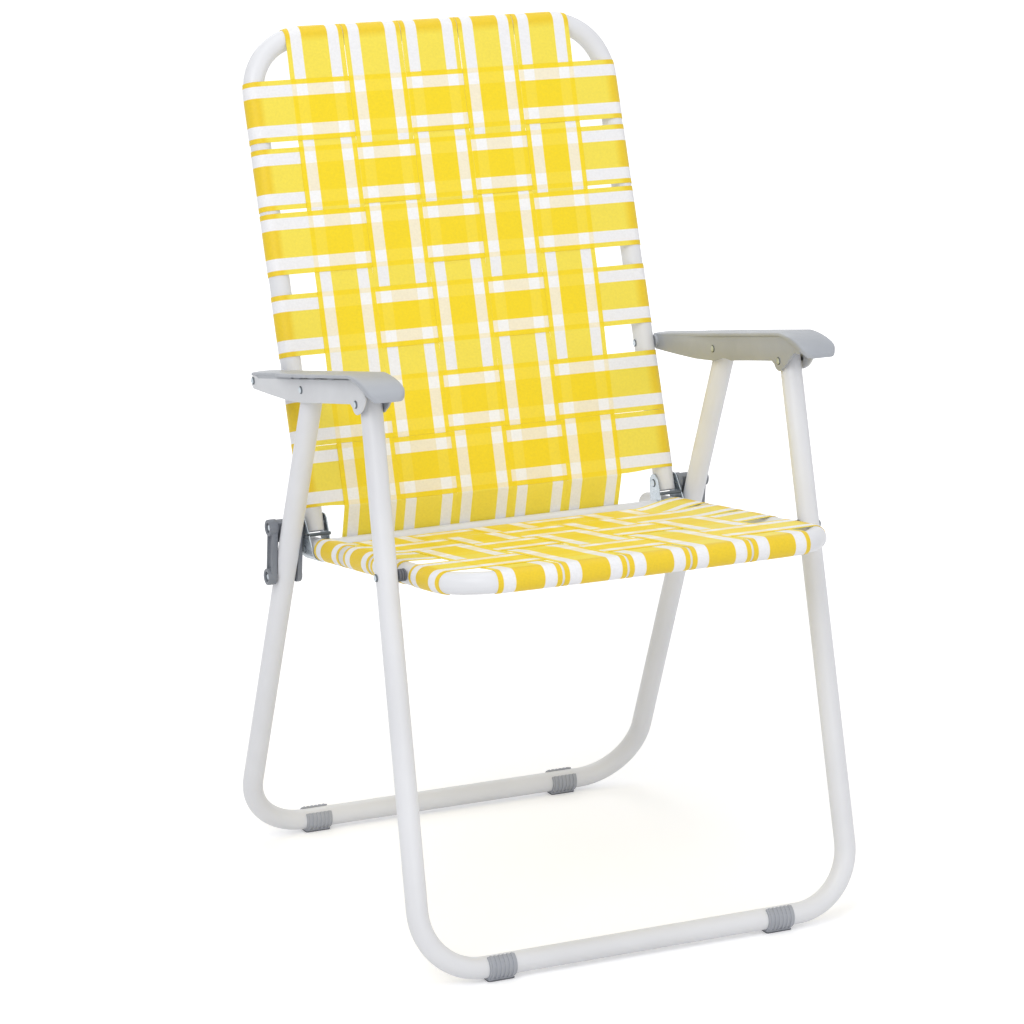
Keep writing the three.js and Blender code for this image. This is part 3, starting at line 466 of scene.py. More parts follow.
# ---------- frames
def make_frames():
    def bent(name, corners, radii, normal, plane, body, node):
        shape = tube(route(corners, radii), normal, plane)
        piece(name, shape, body, ("white_paint", white_paint), node)

    flat_y, flat_z = (0, 1, 0), (0, 0, 1)
    w, top, tail = PANEL_X, BACK_HEIGHT, -BACK_TAIL
    bent("back_tube", [(-w, 0, tail), (-w, 0, top), (w, 0, top), (w, 0, tail)],
         [BACK_BEND] * 2, flat_y, back, "back", "back_frame")
    front, tail = -SEAT_REACH + BOW, SEAT_TAIL
    bent("seat_tube",
         [(-w, tail, 0), (-w, front, 0), (0, -SEAT_REACH, 0), (w, front, 0), (w, tail, 0)],
         [SEAT_BEND, BOW_RADIUS, SEAT_BEND], flat_z, seat, "seat", "seat_frame")
    low, high, top = FRONT_FOOT_X, FRONT_TOP_X, LEG_TOP_FRONT
    bent("front_leg_tube", [(-high, 0, top), (-low, 0, 0), (low, 0, 0), (high, 0, top)],
         [FRONT_BEND] * 2, flat_y, front_leg, "front_legs", "front_leg_frame")
    w, top = REAR_LEG_X, LEG_TOP_REAR
    bent("rear_leg_tube", [(-w, 0, top), (-w, 0, 0), (w, 0, 0), (w, 0, top)],
         [REAR_BEND] * 2, flat_y, rear_leg, "rear_legs", "rear_leg_frame")

    reach, r, round_off = PANEL_X - 12.9, CROSSBAR_RADIUS, 0.5
    ends = [(-reach, r - round_off), (-reach + round_off, r)]
    ends += [(x, r) for x in range(-180, 181, 60)]
    ends += [(reach - round_off, r), (reach, r - round_off)]
    piece("rear_crossbar", turned(ends, CROSSBAR, plane=seat), "seat",
          ("white_paint", white_paint), "seat_rear_crossbar")


def front_leg_x(at):
    return lerp(FRONT_FOOT_X, FRONT_TOP_X, front_leg.local(at)[1] / LEG_TOP_FRONT)


# ---------- fasteners
CHEEK_INSIDE = TUBE + FIT  # the bracket's cheeks, from the middle of the rail
CHEEK_OUTSIDE = CHEEK_INSIDE + 1.3
SCREW_LENGTH = 12
STOP_RADIUS = 1.8
SHORT_RIVET = 2.2
# A rivet's head: shares of its height and radius, for a brim, a low dome and a shallow dimple.
HEAD_SHARES = [(0.0, 1.0), (0.18, 1.0), (0.45, 0.93), (0.72, 0.78), (0.9, 0.6), (1.0, 0.42),
               (0.97, 0.3), (0.84, 0.2), (0.8, 0.0)]
# Past this share of the radius a head takes the darker zinc: a painted shadow ring.
BRIM_SHARE = 0.84  # the darker ring on the head


def head(face, height, radius, out=1):
    return [(face + out * height * rise, radius * share) for rise, share in HEAD_SHARES]


def rivet(name, side, start, end, at, body, node,
          inner=1.1, outer=1.9, shank=2.5, plane=level, radius=4.0):
    """A pin with a head of a given height at each end, or a flat end where the height is 0."""
    profile = head(start, inner, radius, -1)[::-1] if inner else [(start, 0.0)]
    profile += [(start, shank), (end, shank)]
    profile += head(end, outer, radius) if outer else [(end, 0.0)]
    shape = turned(profile, at, side, plane=plane)
    thing = piece(name, shape, body, ("zinc_steel", zinc, painted_shadow_zinc), node)
    y, z = plane.world(0, *at)[1:]
    # Faces out past the brim share get the darker zinc: a painted shadow ring round the head.
    for face in thing.data.polygons:
        away = math.hypot(face.center.y / MM - y, face.center.z / MM - z)
        face.material_index = int(away > radius * BRIM_SHARE)


def stop_pin_place():
    """The stop pin touches the back tube's front and lies level with its end."""
    reach = TUBE + FIT + STOP_RADIUS
    c, s = math.cos(radians(RECLINE)), math.sin(radians(RECLINE))
    return seat.local((HINGE[0] - reach * (c + s), HINGE[1] + reach * (s - c)))


def make_fasteners(name, side):
    inner_face, outer_face = PANEL_X - CHEEK_OUTSIDE, PANEL_X + CHEEK_OUTSIDE
    rivet("pivot_rivet_" + name, side, inner_face, outer_face, SEAT_HINGE, "seat",
          "hinge_rivet_" + name, inner=1.4, outer=1.1, plane=seat, radius=4.4)
    rivet("bar_screw_" + name, side, inner_face - SCREW_LENGTH, outer_face, CROSSBAR, "seat",
          "crossbar_screw_" + name, inner=0, outer=1.1, plane=seat)
    thin = STOP_RADIUS - 0.4
    profile = [(inner_face, thin), (inner_face + 0.3, STOP_RADIUS),
               (outer_face - 0.3, STOP_RADIUS), (outer_face, thin)]
    # The stop rod is all darker zinc: painted shade between the bracket's cheeks.
    piece("stop_rod_" + name, turned(profile, stop_pin_place(), side, plane=seat), "seat",
          ("zinc_steel", painted_shadow_zinc), "stop_pin_" + name)
    gap = 0.1
    back_in, arm_body = PANEL_X - TUBE - gap, "arm_" + name
    rivet("arm_bolt_" + name, side, back_in, ARM_OUT, ARM_REAR, "back", "arm_rear_bolt_" + name)
    rivet("arm_pin_" + name, side, ARM_IN, ARM_OUT, ARM_MIDDLE, arm_body,
          "arm_middle_rivet_" + name)
    rivet("arm_front_pin_inner_" + name, side, ARM_IN, ARM_IN + SHORT_RIVET, ARM_FRONT, arm_body,
          "arm_front_rivet_inner_" + name, outer=0)
    rivet("arm_front_pin_outer_" + name, side, ARM_OUT - SHORT_RIVET, ARM_OUT, ARM_FRONT, arm_body,
          "arm_front_rivet_outer_" + name, inner=0)
    leg = front_leg_x(SEAT_PIVOT)
    rivet("seat_pin_" + name, side, back_in, leg + TUBE + gap, SEAT_PIVOT, "front_legs",
          "seat_pivot_rivet_" + name)

    start, end = PANEL_X + TUBE + gap, leg - TUBE - gap
    bore, ribs = 2.6, 3
    profile = [(start, bore), (start, 5.2)]
    for k in range(ribs):
        a, b = lerp(start, end, k / ribs), lerp(start, end, (k + 1) / ribs)
        profile += [(a + 0.15, 5.9), (a + 0.55, 6.3), (b - 0.75, 6.3), (b - 0.35, 5.9),
                    (b - 0.2, 5.0)]
    profile += [(end, 5.0), (end, bore)]
    piece("leg_spacer_" + name, turned(profile, SEAT_PIVOT, side, sides=32), "front_legs",
          ("dark_grey_plastic", sole_plastic), "seat_pivot_spacer_" + name)


# ---------- brackets and plugs
BRACKET_EYE = 9.7
BRACKET_REACH, BRACKET_INNER_REACH = 24.0, 16.0  # ahead of the hinge


def make_bracket(name, side):
    """A trough round the rail and two cheeks that rise to the hinge."""
    hy, hz = SEAT_HINGE
    rear = hy + BRACKET_EYE + 0.3

    def cheek(reach, start, end):
        """Its front edge runs straight from the foot to the eye."""
        corner, foot, below = 3.0, 3.0, 0.8
        down, away = hz - foot, math.hypot(reach, hz - foot)
        tangent = 180 + math.degrees(math.atan2(down, reach) - math.acos(BRACKET_EYE / away))
        outline = [(hy - reach + 0.6, -below), (hy - reach, 1.5), (hy - reach, foot)]
        outline += arc((hy, hz), BRACKET_EYE, tangent, 0, 20)
        outline += [(rear, hz - 6), (rear, 0.5 + corner)]
        outline += arc((rear - corner, corner - below), corner, 0, -90, 5)
        return plate(outline, side, start, end, 0.4, seat)

    inner = cheek(BRACKET_INNER_REACH, PANEL_X - CHEEK_OUTSIDE, PANEL_X - CHEEK_INSIDE)
    outer = cheek(BRACKET_REACH, PANEL_X + CHEEK_INSIDE, PANEL_X + CHEEK_OUTSIDE)
    front, middle, steps = hy - BRACKET_REACH, (0.0, 0.0), 24
    section = arc(middle, CHEEK_OUTSIDE, 180, 360, steps)
    section += arc(middle, CHEEK_INSIDE, 360, 180, steps)
    rings = []
    for y, shrink in ((front, 0.25), (front + 0.3, 0.0), (rear - 0.3, 0.0), (rear, 0.25)):
        ring = inset(section, shrink) if shrink else section
        rings.append([seat.world(side * PANEL_X + x, y, z) for x, z in ring])
    points, faces = skin(rings, caps=False)
    count = len(section)
    for base in (0, 3 * count):
        faces += [(base + k, base + k + 1, base + count - 2 - k, base + count - 1 - k)
                  for k in range(steps)]
    thing = piece("bracket_" + name, joined(inner, outer, (points, faces)), "seat",
                  ("zinc_steel", zinc, inside_shade_zinc), "hinge_bracket_" + name)
    # Faces that look inwards, to the rail's middle, get the darker zinc: painted shade inside the
    # bracket.
    for face in thing.data.polygons:
        x = face.center.x / MM - side * PANEL_X
        z = min(seat.local((face.center.y / MM, face.center.z / MM))[1], 0.0)
        facing = face.normal.x * x + (face.normal.z * seat.cos - face.normal.y * seat.sin) * z
        face.material_index = int(facing < -0.7 * math.hypot(x, z))


def make_rail_cap(name, side):
    """A plug with a domed head in the rear end of a seat rail."""
    stem, dome, rise, plug = 9.2, 10.9, 5.2, -12.0
    profile = [(plug, 0.0), (plug, stem), (0.05, stem), (0.05, dome)]
    profile += [(rise * math.sin(radians(a)), dome * math.cos(radians(a)))
                for a in range(10, 91, 10)]
    rings = [[seat.world(side * PANEL_X + radius * c, SEAT_TAIL + 0.2 + along, radius * s)
              for c, s in circle(32)] for along, radius in profile]
    piece("rail_cap_" + name, skin(rings), "seat", ("white_cap", cap_plastic),
          "seat_rail_plug_" + name)


# ---------- links
LINK_EYE, LINK_WAIST, LINK_FILLET = 8.7, 7.4, 5.0
LINK_IN = PANEL_X + CHEEK_OUTSIDE + 1.4  # the inner face, then the faces beside the leg
LINK_IN_CHEEK, LINK_OUT_CHEEK = REAR_LEG_X - TUBE - FIT, REAR_LEG_X + TUBE + FIT
LINK_CHEEK = 6.5  # the outer cheek's thickness at its rim
LINK_BOSS = LINK_OUT_CHEEK + 9.3
LINK_RECESS = LINK_BOSS - 3.2
LINK_SWING = 2.5  # how far a link turns against the leg, in radians


def dog_bone(a, b, eye, waist, fillet):
    """The outline of two round eyes joined by a narrower web, with filleted corners."""
    a, b = Vector(a), Vector(b)
    along = (b - a).normalized()
    across = Vector((-along.y, along.x))
    reach = math.sqrt((eye + fillet) ** 2 - (waist + fillet) ** 2)

    def at(base, way, x, y):
        p = base + along * way * x + across * y
        return (p.x, p.y)

    def corner(base, way, hand):
        """From the eye to the web's straight edge."""
        centre = Vector((reach, waist + fillet))
        start = math.degrees(math.atan2(-centre.y, -centre.x))
        return [at(base, way, x, hand * y) for x, y in arc(centre, fillet, start, -90, 6)]

    def eye_round(base, way):
        turn = math.degrees(math.atan2(waist + fillet, reach))
        return [at(base, way, x, y) for x, y in arc((0, 0), eye, -turn, turn - 360, 22)]

    outline = eye_round(a, 1) + corner(a, 1, 1) + corner(b, -1, 1)[::-1]
    outline += eye_round(b, -1)[::-1] + corner(b, -1, -1) + corner(a, 1, -1)[::-1]
    return outline


def link_cheek(outline, side):
    """The link's outer cheek. Its outer face is sunk between a rim all round."""
    start, end = LINK_OUT_CHEEK, LINK_OUT_CHEEK + LINK_CHEEK
    steps = [(start, 0.6), (start + 0.2, 0.2), (start + 0.6, 0.0), (end - 0.5, 0.0),
             (end - 0.15, 0.15), (end, 0.5), (end, 1.6), (end - 0.2, 1.85), (end - 2.2, 2.1),
             (end - 2.4, 2.4)]
    return skin([[(side * x, y, z) for y, z in inset(outline, way)] for x, way in steps])


def kept_part(outline, base, normal, least):
    """The part of an outline that lies at least so far from a base point, along a normal."""
    far = [(y - base[0]) * normal[0] + (z - base[1]) * normal[1] - least for y, z in outline]
    found = []
    for k, (y, z) in enumerate(outline):
        before, (last_y, last_z) = far[k - 1], outline[k - 1]
        if before * far[k] < 0:
            share = before / (before - far[k])
            found.append((lerp(last_y, y, share), lerp(last_z, z, share)))
        if far[k] > 0:
            found.append((y, z))
    return found


def link_bridge(outline, side):
    """It joins the cheeks behind the leg, and clears the leg when open and when folded."""
    leg = Vector((ARM_MIDDLE[0] - LINK_FOOT[0], ARM_MIDDLE[1] - LINK_FOOT[1])).normalized()
    when_open = Vector((leg.y, -leg.x))
    c, s = math.cos(LINK_SWING), math.sin(LINK_SWING)
    when_folded = Vector((when_open.x * c - when_open.y * s, when_open.x * s + when_open.y * c))
    section = inset(outline, 0.8)
    for away_from_leg in (when_open, when_folded):
        section = kept_part(section, LINK_FOOT, away_from_leg, TUBE + 0.5)
    return plate(section, side, LINK_IN_CHEEK - 0.3, LINK_OUT_CHEEK + 0.3, 0.1)


def make_link(name, side):
    """Two cheeks that straddle the rear leg, with a boss round each pivot."""
    outline = anticlockwise(dog_bone(HINGE, LINK_FOOT, LINK_EYE, LINK_WAIST, LINK_FILLET))
    parts = [plate(outline, side, LINK_IN, LINK_IN_CHEEK, 0.6), link_cheek(outline, side)]
    foot, top, bore = LINK_OUT_CHEEK + 0.4, LINK_BOSS, 2.3
    boss = [(foot, 8.1), (foot + 0.4, 8.65), (top - 0.9, 8.6), (top - 0.3, 8.35), (top, 7.8),
            (top, 6.2), (top - 0.2, 5.7), (top - 0.6, 5.3), (LINK_RECESS, 5.1),
            (LINK_RECESS, bore), (foot, bore)]
    parts += [turned(boss, at, side, sides=36) for at in (HINGE, LINK_FOOT)]
    parts.append(link_bridge(outline, side))
    piece("link_arm_" + name, joined(*parts), "link_" + name,
          ("dark_grey_plastic", dark_plastic), "link_" + name)
    for word, at, body in (("top", HINGE, "link_" + name), ("foot", LINK_FOOT, "rear_legs")):
        rivet(f"link_pin_{word}_{name}", side, LINK_IN, LINK_RECESS, at, body,
              f"link_{word}_rivet_{name}", inner=0, shank=2.2, radius=4.2)


# ---------- feet
FRONT_GLIDE_X, REAR_GLIDE_X = 156.0, 149.4
GLIDE_SHIFT = -3.6  # all four sit a little to the left
# A glide's sole: height, half length and half width of its rings.
SOLE_RINGS = ((0.0, 14.3, 6.8), (0.4, 14.7, 7.3), (1.2, 14.7, 7.3), (1.6, 14.4, 7.1),
              (3.2, 14.2, 7.0), (5.5, 14.2, 6.9))


def make_foot(name, x, bar, body, node, mouth, reach):
    """A ribbed clip round the floor bar, from the mouth's angle on, with a flat sole."""
    inner, shell, rise, ribs, half = TUBE + 0.15, 1.65, 0.85, 6, 14.8
    pitch, slope = 2 * half / (ribs * 2 + 1), 0.2
    rings = []
    for k in range(49):
        turn = lerp(0, reach, k / 48)
        fade = smooth((reach - turn) / 14)  # the ribs run out at the clip's end
        profile = [(-half, inner), (half, inner)]
        for i in range(ribs * 2, -1, -1):
            radius = inner + shell + (rise * fade if i % 2 == 1 else 0)
            start, end = -half + i * pitch, -half + (i + 1) * pitch
            profile += [(end - slope, radius), (start + slope, radius)]
        c, s = math.cos(radians(mouth + turn)), math.sin(radians(mouth + turn))
        rings.append([(x + a, bar[0] + r * c, bar[1] + r * s) for a, r in profile])
    clip = skin(rings)

    corner_radius = 2.5
    rings = []
    for z, half_x, half_y in SOLE_RINGS:
        outline = []
        for corner, (sx, sy) in enumerate(((1, 1), (-1, 1), (-1, -1), (1, -1))):
            centre = (sx * (half_x - corner_radius), sy * (half_y - corner_radius))
            outline += arc(centre, corner_radius, corner * 90, corner * 90 + 90, 4)
        rings.append([(x + a, bar[0] + b, z) for a, b in outline])
    thing = piece(name, joined(clip, skin(rings)), body,
                  ("dark_grey_plastic", foot_plastic, sole_plastic), node, sharp=28)
    for face in thing.data.polygons:
        face.material_index = int(face.center.z < 2.0 * MM)


# ---------- armrests
PAD_SLOPE, PAD_REAR_Y, PAD_REAR_TOP = 0.19, 144.5, 538.5
PAD_STEP_Y = 80.0  # the pad is wider ahead of this
ARM_REAR_END = 150.8
CROWN, TIP = -126.0, -182.0  # where the nose begins, and its front end
NOSE_DROP = 19.0
NOSE_FLOOR = 572.6  # the nose's lower edge ends level at this height
SKIRT = 2.2  # thickness


def pad_top(y):
    """The height of the pad's top surface over the length of the arm."""
    return PAD_REAR_TOP + PAD_SLOPE * (PAD_REAR_Y - y)


def pad_edges(y):
    """The pad's inner and outer edge: narrow behind, wide in front and rounded at the nose."""
    step, flare = smooth((PAD_STEP_Y - y) / 4), smooth((PAD_STEP_Y - 2.0 - y) / 60)
    outer = ARM_OUT + 0.2 + 3.6 * step + 5.1 * flare
    inner = ARM_IN - 0.1 - 1.6 * smooth((PAD_STEP_Y - y) / 50)
    corner = 12.0
    near = corner - min(max(y - TIP, 0.0), corner)
    narrowing = corner - math.sqrt(max(corner * corner - near * near, 0.0))
    return inner + narrowing, outer - narrowing


def hood_edge(y, z):
    """The height of the nose's lower edge: the lip grows deeper and then stops level."""
    return max(z - lerp(3.4, 6.0, smooth((CROWN - 6 - y) / 30)), NOSE_FLOOR)


def arm_section(y, z, slope, side):
    """One ring of the pad: its skin, its two lips and its underside."""
    inner, outer = pad_edges(y)
    lip = z - hood_edge(y, z) if y < CROWN else lerp(3.0, 3.4, smooth((90 - y) / 30))
    under = min(lerp(2.7, lip, smooth((TIP + 5 - y) / 4)), lip - 0.05)
    bend, wall, crown = min(2.4, lip * 0.6), 1.7, 0.7
    rounded = [(bend - bend * math.cos(radians(a)), -bend + bend * math.sin(radians(a)))
               for a in (20, 45, 70)]
    section = [(inner + wall, -lip), (inner + 0.3, -lip), (inner, -lip + 0.3), (inner, -bend)]
    section += [(inner + x, h) for x, h in rounded]
    section += [(lerp(inner, outer, share), crown * math.sin(math.pi * share))
                for share in (0.12, 0.3, 0.5, 0.7, 0.88)]
    section += [(outer - x, h) for x, h in reversed(rounded)]
    section += [(outer, -bend), (outer, -lip + 0.3), (outer - 0.3, -lip), (outer - wall, -lip),
                (outer - wall, -under), (inner + wall, -under)]
    c, s = math.cos(slope), math.sin(slope)
    return [(side * x, y + h * s, z + h * c) for x, h in section]


def arm_pad(side):
    slope = math.atan(PAD_SLOPE)
    rings = []
    for k in range(45):
        y = lerp(ARM_REAR_END, CROWN, k / 44)
        rings.append(arm_section(y, pad_top(y), slope, side))
    for k in range(1, 15):
        t = math.sin(radians(6.2 * k))
        fall = NOSE_DROP * (1 - math.sqrt(1 - t * t))
        z = pad_top(CROWN) + 3.0 * t - fall
        rings.append(arm_section(CROWN + (TIP - CROWN) * t, z, 0.0, side))
    return skin(rings)


def arm_gusset(y, side):
    """A small rib under the pad's overhang, on the outer skirt."""
    z = pad_top(y) - 2.6
    rings = []
    for dy, low in ((-0.9, 0.3), (-0.6, 0.0), (0.6, 0.0), (0.9, 0.3)):
        corners = [(-2.0, 0.0), (6.5 - low, 0.0), (6.0 - low, -1.6 + low), (-0.2, -3.6 + low),
                   (-2.0, -3.6 + low)]
        rings.append([(side * (ARM_OUT + x), y + dy, z + h) for x, h in corners])
    return skin(rings)


def make_armrest(name, side):
    rear_round, rear_radius, lobe = (144.2, 528.4), 7.4, 10.3
    rear = arc(rear_round, rear_radius, 88, -88, 14)
    lower = [(100.0, 523.9), (54.5, 527.5), (11.5, 533.3)]
    throat = [(-111.5, 557.4), (-114.4, 555.8)]
    outer_outline = rear + lower + [(-50.0, 545.6)] + throat + arc(ARM_FRONT, lobe, -28, -118, 10)
    outer_outline += [(-137.6, 554.4), (-143.4, 559.6), (-147.2, 565.0), (-148.6, 570.0),
                      (-146.6, 574.6), (-141.0, 578.4), (-134.0, 580.8), (-126.9, 582.0),
                      (-116.0, 582.2), (-110.0, pad_top(-110.0) - 5.4),
                      (133.0, pad_top(133.0) - 6.0), (139.0, 536.2)]
    inner_outline = rear + lower + [(-1.0, 537.8), (-6.5, 540.0), (-12.0, 540.6), (-24.5, 540.7),
                                    (-60.0, 547.7)]
    inner_outline += throat + arc(ARM_FRONT, lobe, -28, -140, 12)
    inner_outline += [(-139.6, 557.6), (-149.5, 567.8), (-155.5, 573.5), (-158.0, 574.6),
                      (-166.0, 574.4), (-170.0, 576.5), (-168.0, 579.5), (-160.0, 583.5),
                      (-150.0, 586.0), (-138.0, 587.0), (-126.0, 586.8), (-113.5, 584.5)]
    outer_skirt = plate(outer_outline, side, ARM_OUT - SKIRT, ARM_OUT, 0.7)
    inner_skirt = plate(inner_outline, side, ARM_IN, ARM_IN + SKIRT, 0.7)

    shell = arc(rear_round, rear_radius, 88, -40, 10)
    shell += arc(rear_round, rear_radius - SKIRT, -40, 88, 10)
    end = plate(shell, side, ARM_IN + 0.6, ARM_OUT - 0.6, 0.3)
    start, stop, bore = PANEL_X + TUBE + 0.6, ARM_IN + 0.4, 3.0
    boss = turned([(start, bore), (start, 6.4), (start + 0.5, 6.9), (stop, 7.2), (stop, bore)],
                  ARM_REAR, side, sides=32)
    low, high = 7.0, 1.5
    band = [(y, pad_top(y) - below)
            for y, below in ((42.0, low), (138.0, low), (138.0, high), (42.0, high))]
    pad_side = plate(band, side, ARM_OUT - 3.0, ARM_OUT - 0.5, 0.2)
    gussets = [arm_gusset(y, side) for y in (18.0, -20.0, -68.0)]
    shape = joined(outer_skirt, arm_pad(side), pad_side, inner_skirt, end, boss, *gussets)
    thing = piece("armrest_shell_" + name, shape, "arm_" + name,
                  ("grey_plastic", grey_plastic, painted_light_plastic), "armrest_" + name, sharp=35)
    # The outer skirt's faces take the lighter copy of the plastic: painted light on the side that
    # faces out.
    for face in list(thing.data.polygons)[:len(outer_skirt[1])]:
        face.material_index = 1


# ---------- webbing
BACK_ROWS = [430.5, 359.0, 291.0, 205.5, 110.7, 45.7]  # the cross straps' middles
SEAT_ROWS = [202.2, 124.5, 53.5, -41.5]
SEAT_DIPS = [7.5, 3.0, 1.3, 0.5]  # how far the web sags there
COUNT = 5  # lengthwise straps
MIDDLE = (COUNT - 1) / 2
# The lengthwise straps' pitch and the middle one's offset, at the top, crossbar and front.
TOP_SPREAD, CROSSBAR_SPREAD, FRONT_SPREAD = (66.0, -1.0), (64.4, -12.0), (69.0, 3.8)
BAR_IN_BACK = back.local(seat.world(0, *CROSSBAR)[1:])
COLUMNS = 12
WRAP, WRAP_STEPS = 272.0, 34  # how far an end goes round its tube
TAPER, TIP_HALF = 19.0, 8.0  # a strap's end is folded to a blunt point
BRACKET_TOP = 15.4  # the lowest strap on the back stays above this at the tubes
SCREW_FROM_END = 9.0
SCREW_PROFILE = [(-1.0, 0.0), (-1.0, 1.6), (0.0, 1.6), (0.0, 3.3), (0.3, 3.4), (0.8, 2.9),
                 (1.15, 1.9), (1.25, 1.2), (0.8, 1.1), (0.8, 0.0)]

# The front bar's bends.
BOW_TURN = math.atan2(BOW, PANEL_X)
BEND_REACH = SEAT_BEND * math.tan((math.pi / 2 - BOW_TURN) / 2)
SIDE_BEND_Y = BOW - SEAT_REACH + BEND_REACH


def turned_in(beyond, radius, offset):
    """How far a tube has turned in, beyond the start of a bend, at an offset from its middle."""
    if beyond <= 0:
        return 0.0
    reach = radius + offset
    return reach - math.sqrt(max(reach * reach - beyond * beyond, 0.0))


def front_bar_y(x, offset):
    """The front bar's middle line: bowed, then turned in at the corners."""
    bend = PANEL_X - BEND_REACH * math.cos(BOW_TURN)
    bowed = BOW_RADIUS / math.cos(BOW_TURN) - BOW_RADIUS
    bowed += turned_in(min(abs(x), bend), BOW_RADIUS, 0)
    beyond = abs(x) - bend
    if beyond <= 0:
        return bowed
    entry = SEAT_BEND * math.sin(BOW_TURN)
    bowed += turned_in(beyond + entry, SEAT_BEND, offset)
    return bowed - turned_in(entry, SEAT_BEND, offset)


def share_at(on_back, along):
    """How far a place is from the crossbar, as a share of the way to the top or the front bar."""
    if on_back:
        return (along - BAR_IN_BACK[1]) / (BACK_HEIGHT - BAR_IN_BACK[1])
    return (CROSSBAR[0] - along) / (CROSSBAR[0] + SEAT_REACH)


def strap_place(i, share, on_back):
    """The middle and half width of a lengthwise strap, at a share of the way along a panel."""
    far = TOP_SPREAD if on_back else FRONT_SPREAD
    pitch, offset = (lerp(near, there, share) for near, there in zip(CROSSBAR_SPREAD, far))
    wider = 0.35 if on_back else 0.9 * smooth(share * 2 - 1)
    return offset + pitch * (i - MIDDLE), min(HALF + wider, (pitch - 0.1) / 2)


def crossings_along(middles, heights, lifts, first, last, base=0.0):
    """Places along a strap where it crosses others: (place, height, under), in running order.
    first and last are (place, height) of what it comes from and goes to, and base is where the
    count of crossings begins."""
    way = 1 if middles[-1] > middles[0] else -1
    flat = HALF - 1.0
    knots = [(*first, base - CELL / 2)]

    def gap(a, b, steps):
        for k in range(1, steps):
            t = k / steps
            knots.append((lerp(a[0], b[0], t), lerp(a[1], b[1], smooth(t)), lerp(a[2], b[2], t)))

    for j, middle in enumerate(middles):
        height = heights[j] + lifts[j]
        start = (middle - way * HALF, height, base + CELL * j - HALF)
        gap(knots[-1], start, 6 if j == 0 else 5)
        for offset in (-HALF, -flat, -HALF / 2, 0.0, HALF / 2, flat, HALF):
            knots.append((middle + way * offset, height, base + CELL * j + offset))
    gap(knots[-1], (*last, base + CELL * len(middles) - CELL / 2), 6)
    return knots[1:]


def measure(stations, surface):
    """Gives each station its distance along the strap."""
    run = 0.0
    previous = None
    for station in stations:
        here = Vector(surface(station, 0.0, 0.0))
        if previous is not None:
            run += (here - previous).length
        station["along"] = run
        previous = here


def strap(name, stations, surface, body, nodes):
    """A thin strip through its stations, with tapered ends. surface(station, share, height) gives
    a point, where share runs from -1 to 1 across the strap. A station's under and wrap are its
    second UV place, and measure() gives its distance along the strap."""
    measure(stations, surface)
    length = stations[-1]["along"] - stations[0]["along"]

    def half_at(k):
        near = min(stations[k]["along"], length - stations[k]["along"])
        return HALF if near >= TAPER else lerp(TIP_HALF, HALF, near / TAPER)

    points, own, under = [], [], []
    for k, station in enumerate(stations):
        half = half_at(k)
        for j in range(COLUMNS + 1):
            share = lerp(-1.0, 1.0, j / COLUMNS)
            for height in (SHEET / 2, -SHEET / 2):
                points.append(surface(station, share * half / HALF, height))
                own.append((share * half, station["along"]))
                under.append((station["under"], station.get("wrap", 0.0)))
    count = 2 * (COLUMNS + 1)
    faces = []
    for k in range(len(stations) - 1):
        a, b = k * count, (k + 1) * count
        for j in range(0, 2 * COLUMNS, 2):
            faces.append((a + j, a + j + 2, b + j + 2, b + j))
            faces.append((a + j + 1, b + j + 1, b + j + 3, a + j + 3))
        faces.append((a, b, b + 1, a + 1))
        faces.append((a + count - 2, a + count - 1, b + count - 1, b + count - 2))
    for base, flip in ((0, 1), ((len(stations) - 1) * count, -1)):
        for a in range(base, base + 2 * COLUMNS, 2):
            faces.append((a, a + 1, a + 3, a + 2)[::flip])
    thing = piece(name, (points, faces), body, ("webbing", web), *nodes,
                  uvs={"UVMap": own, "under": under}, sharp=50)
    cut = sum((half_at(k - 1) + half_at(k)) * (stations[k]["along"] - stations[k - 1]["along"])
              for k in range(1, len(stations)))
    return thing


def add_screws(name, stations, surface, ends):
    """A small screw through each end of a strap. It stands on the strap's outer face."""
    total = stations[-1]["along"]
    for (word, body), want in zip(ends, (SCREW_FROM_END, total - SCREW_FROM_END)):
        k = min(range(1, len(stations) - 1), key=lambda n: abs(stations[n]["along"] - want))
        before, after = (Vector(surface(stations[n], 0.0, 0.0)) for n in (k - 1, k + 1))
        base = Vector(surface(stations[k], 0.0, SHEET / 2))
        out = (base - Vector(surface(stations[k], 0.0, -SHEET / 2))).normalized()
        across = out.cross((after - before).normalized()).normalized()
        along = across.cross(out)
        rings = [[tuple(base + out * height + (across * c + along * s) * radius)
                  for c, s in circle(18)] for height, radius in SCREW_PROFILE]
        piece(f"{name}_screw_{word}", skin(rings), body, ("zinc_steel", zinc))


def fan(station, on_back, along):
    """Moves a place on a cross strap so that it follows the lengthwise straps' slant."""
    x, middles = station["x"], station["middles"]
    i = min(range(COUNT), key=lambda n: abs(middles[n] - x))
    shift = strap_place(i, share_at(on_back, along), on_back)[0] - middles[i]
    fade = max(0.0, 1 - max(abs(x) - 168, 0) / 30)
    return x + shift * fade


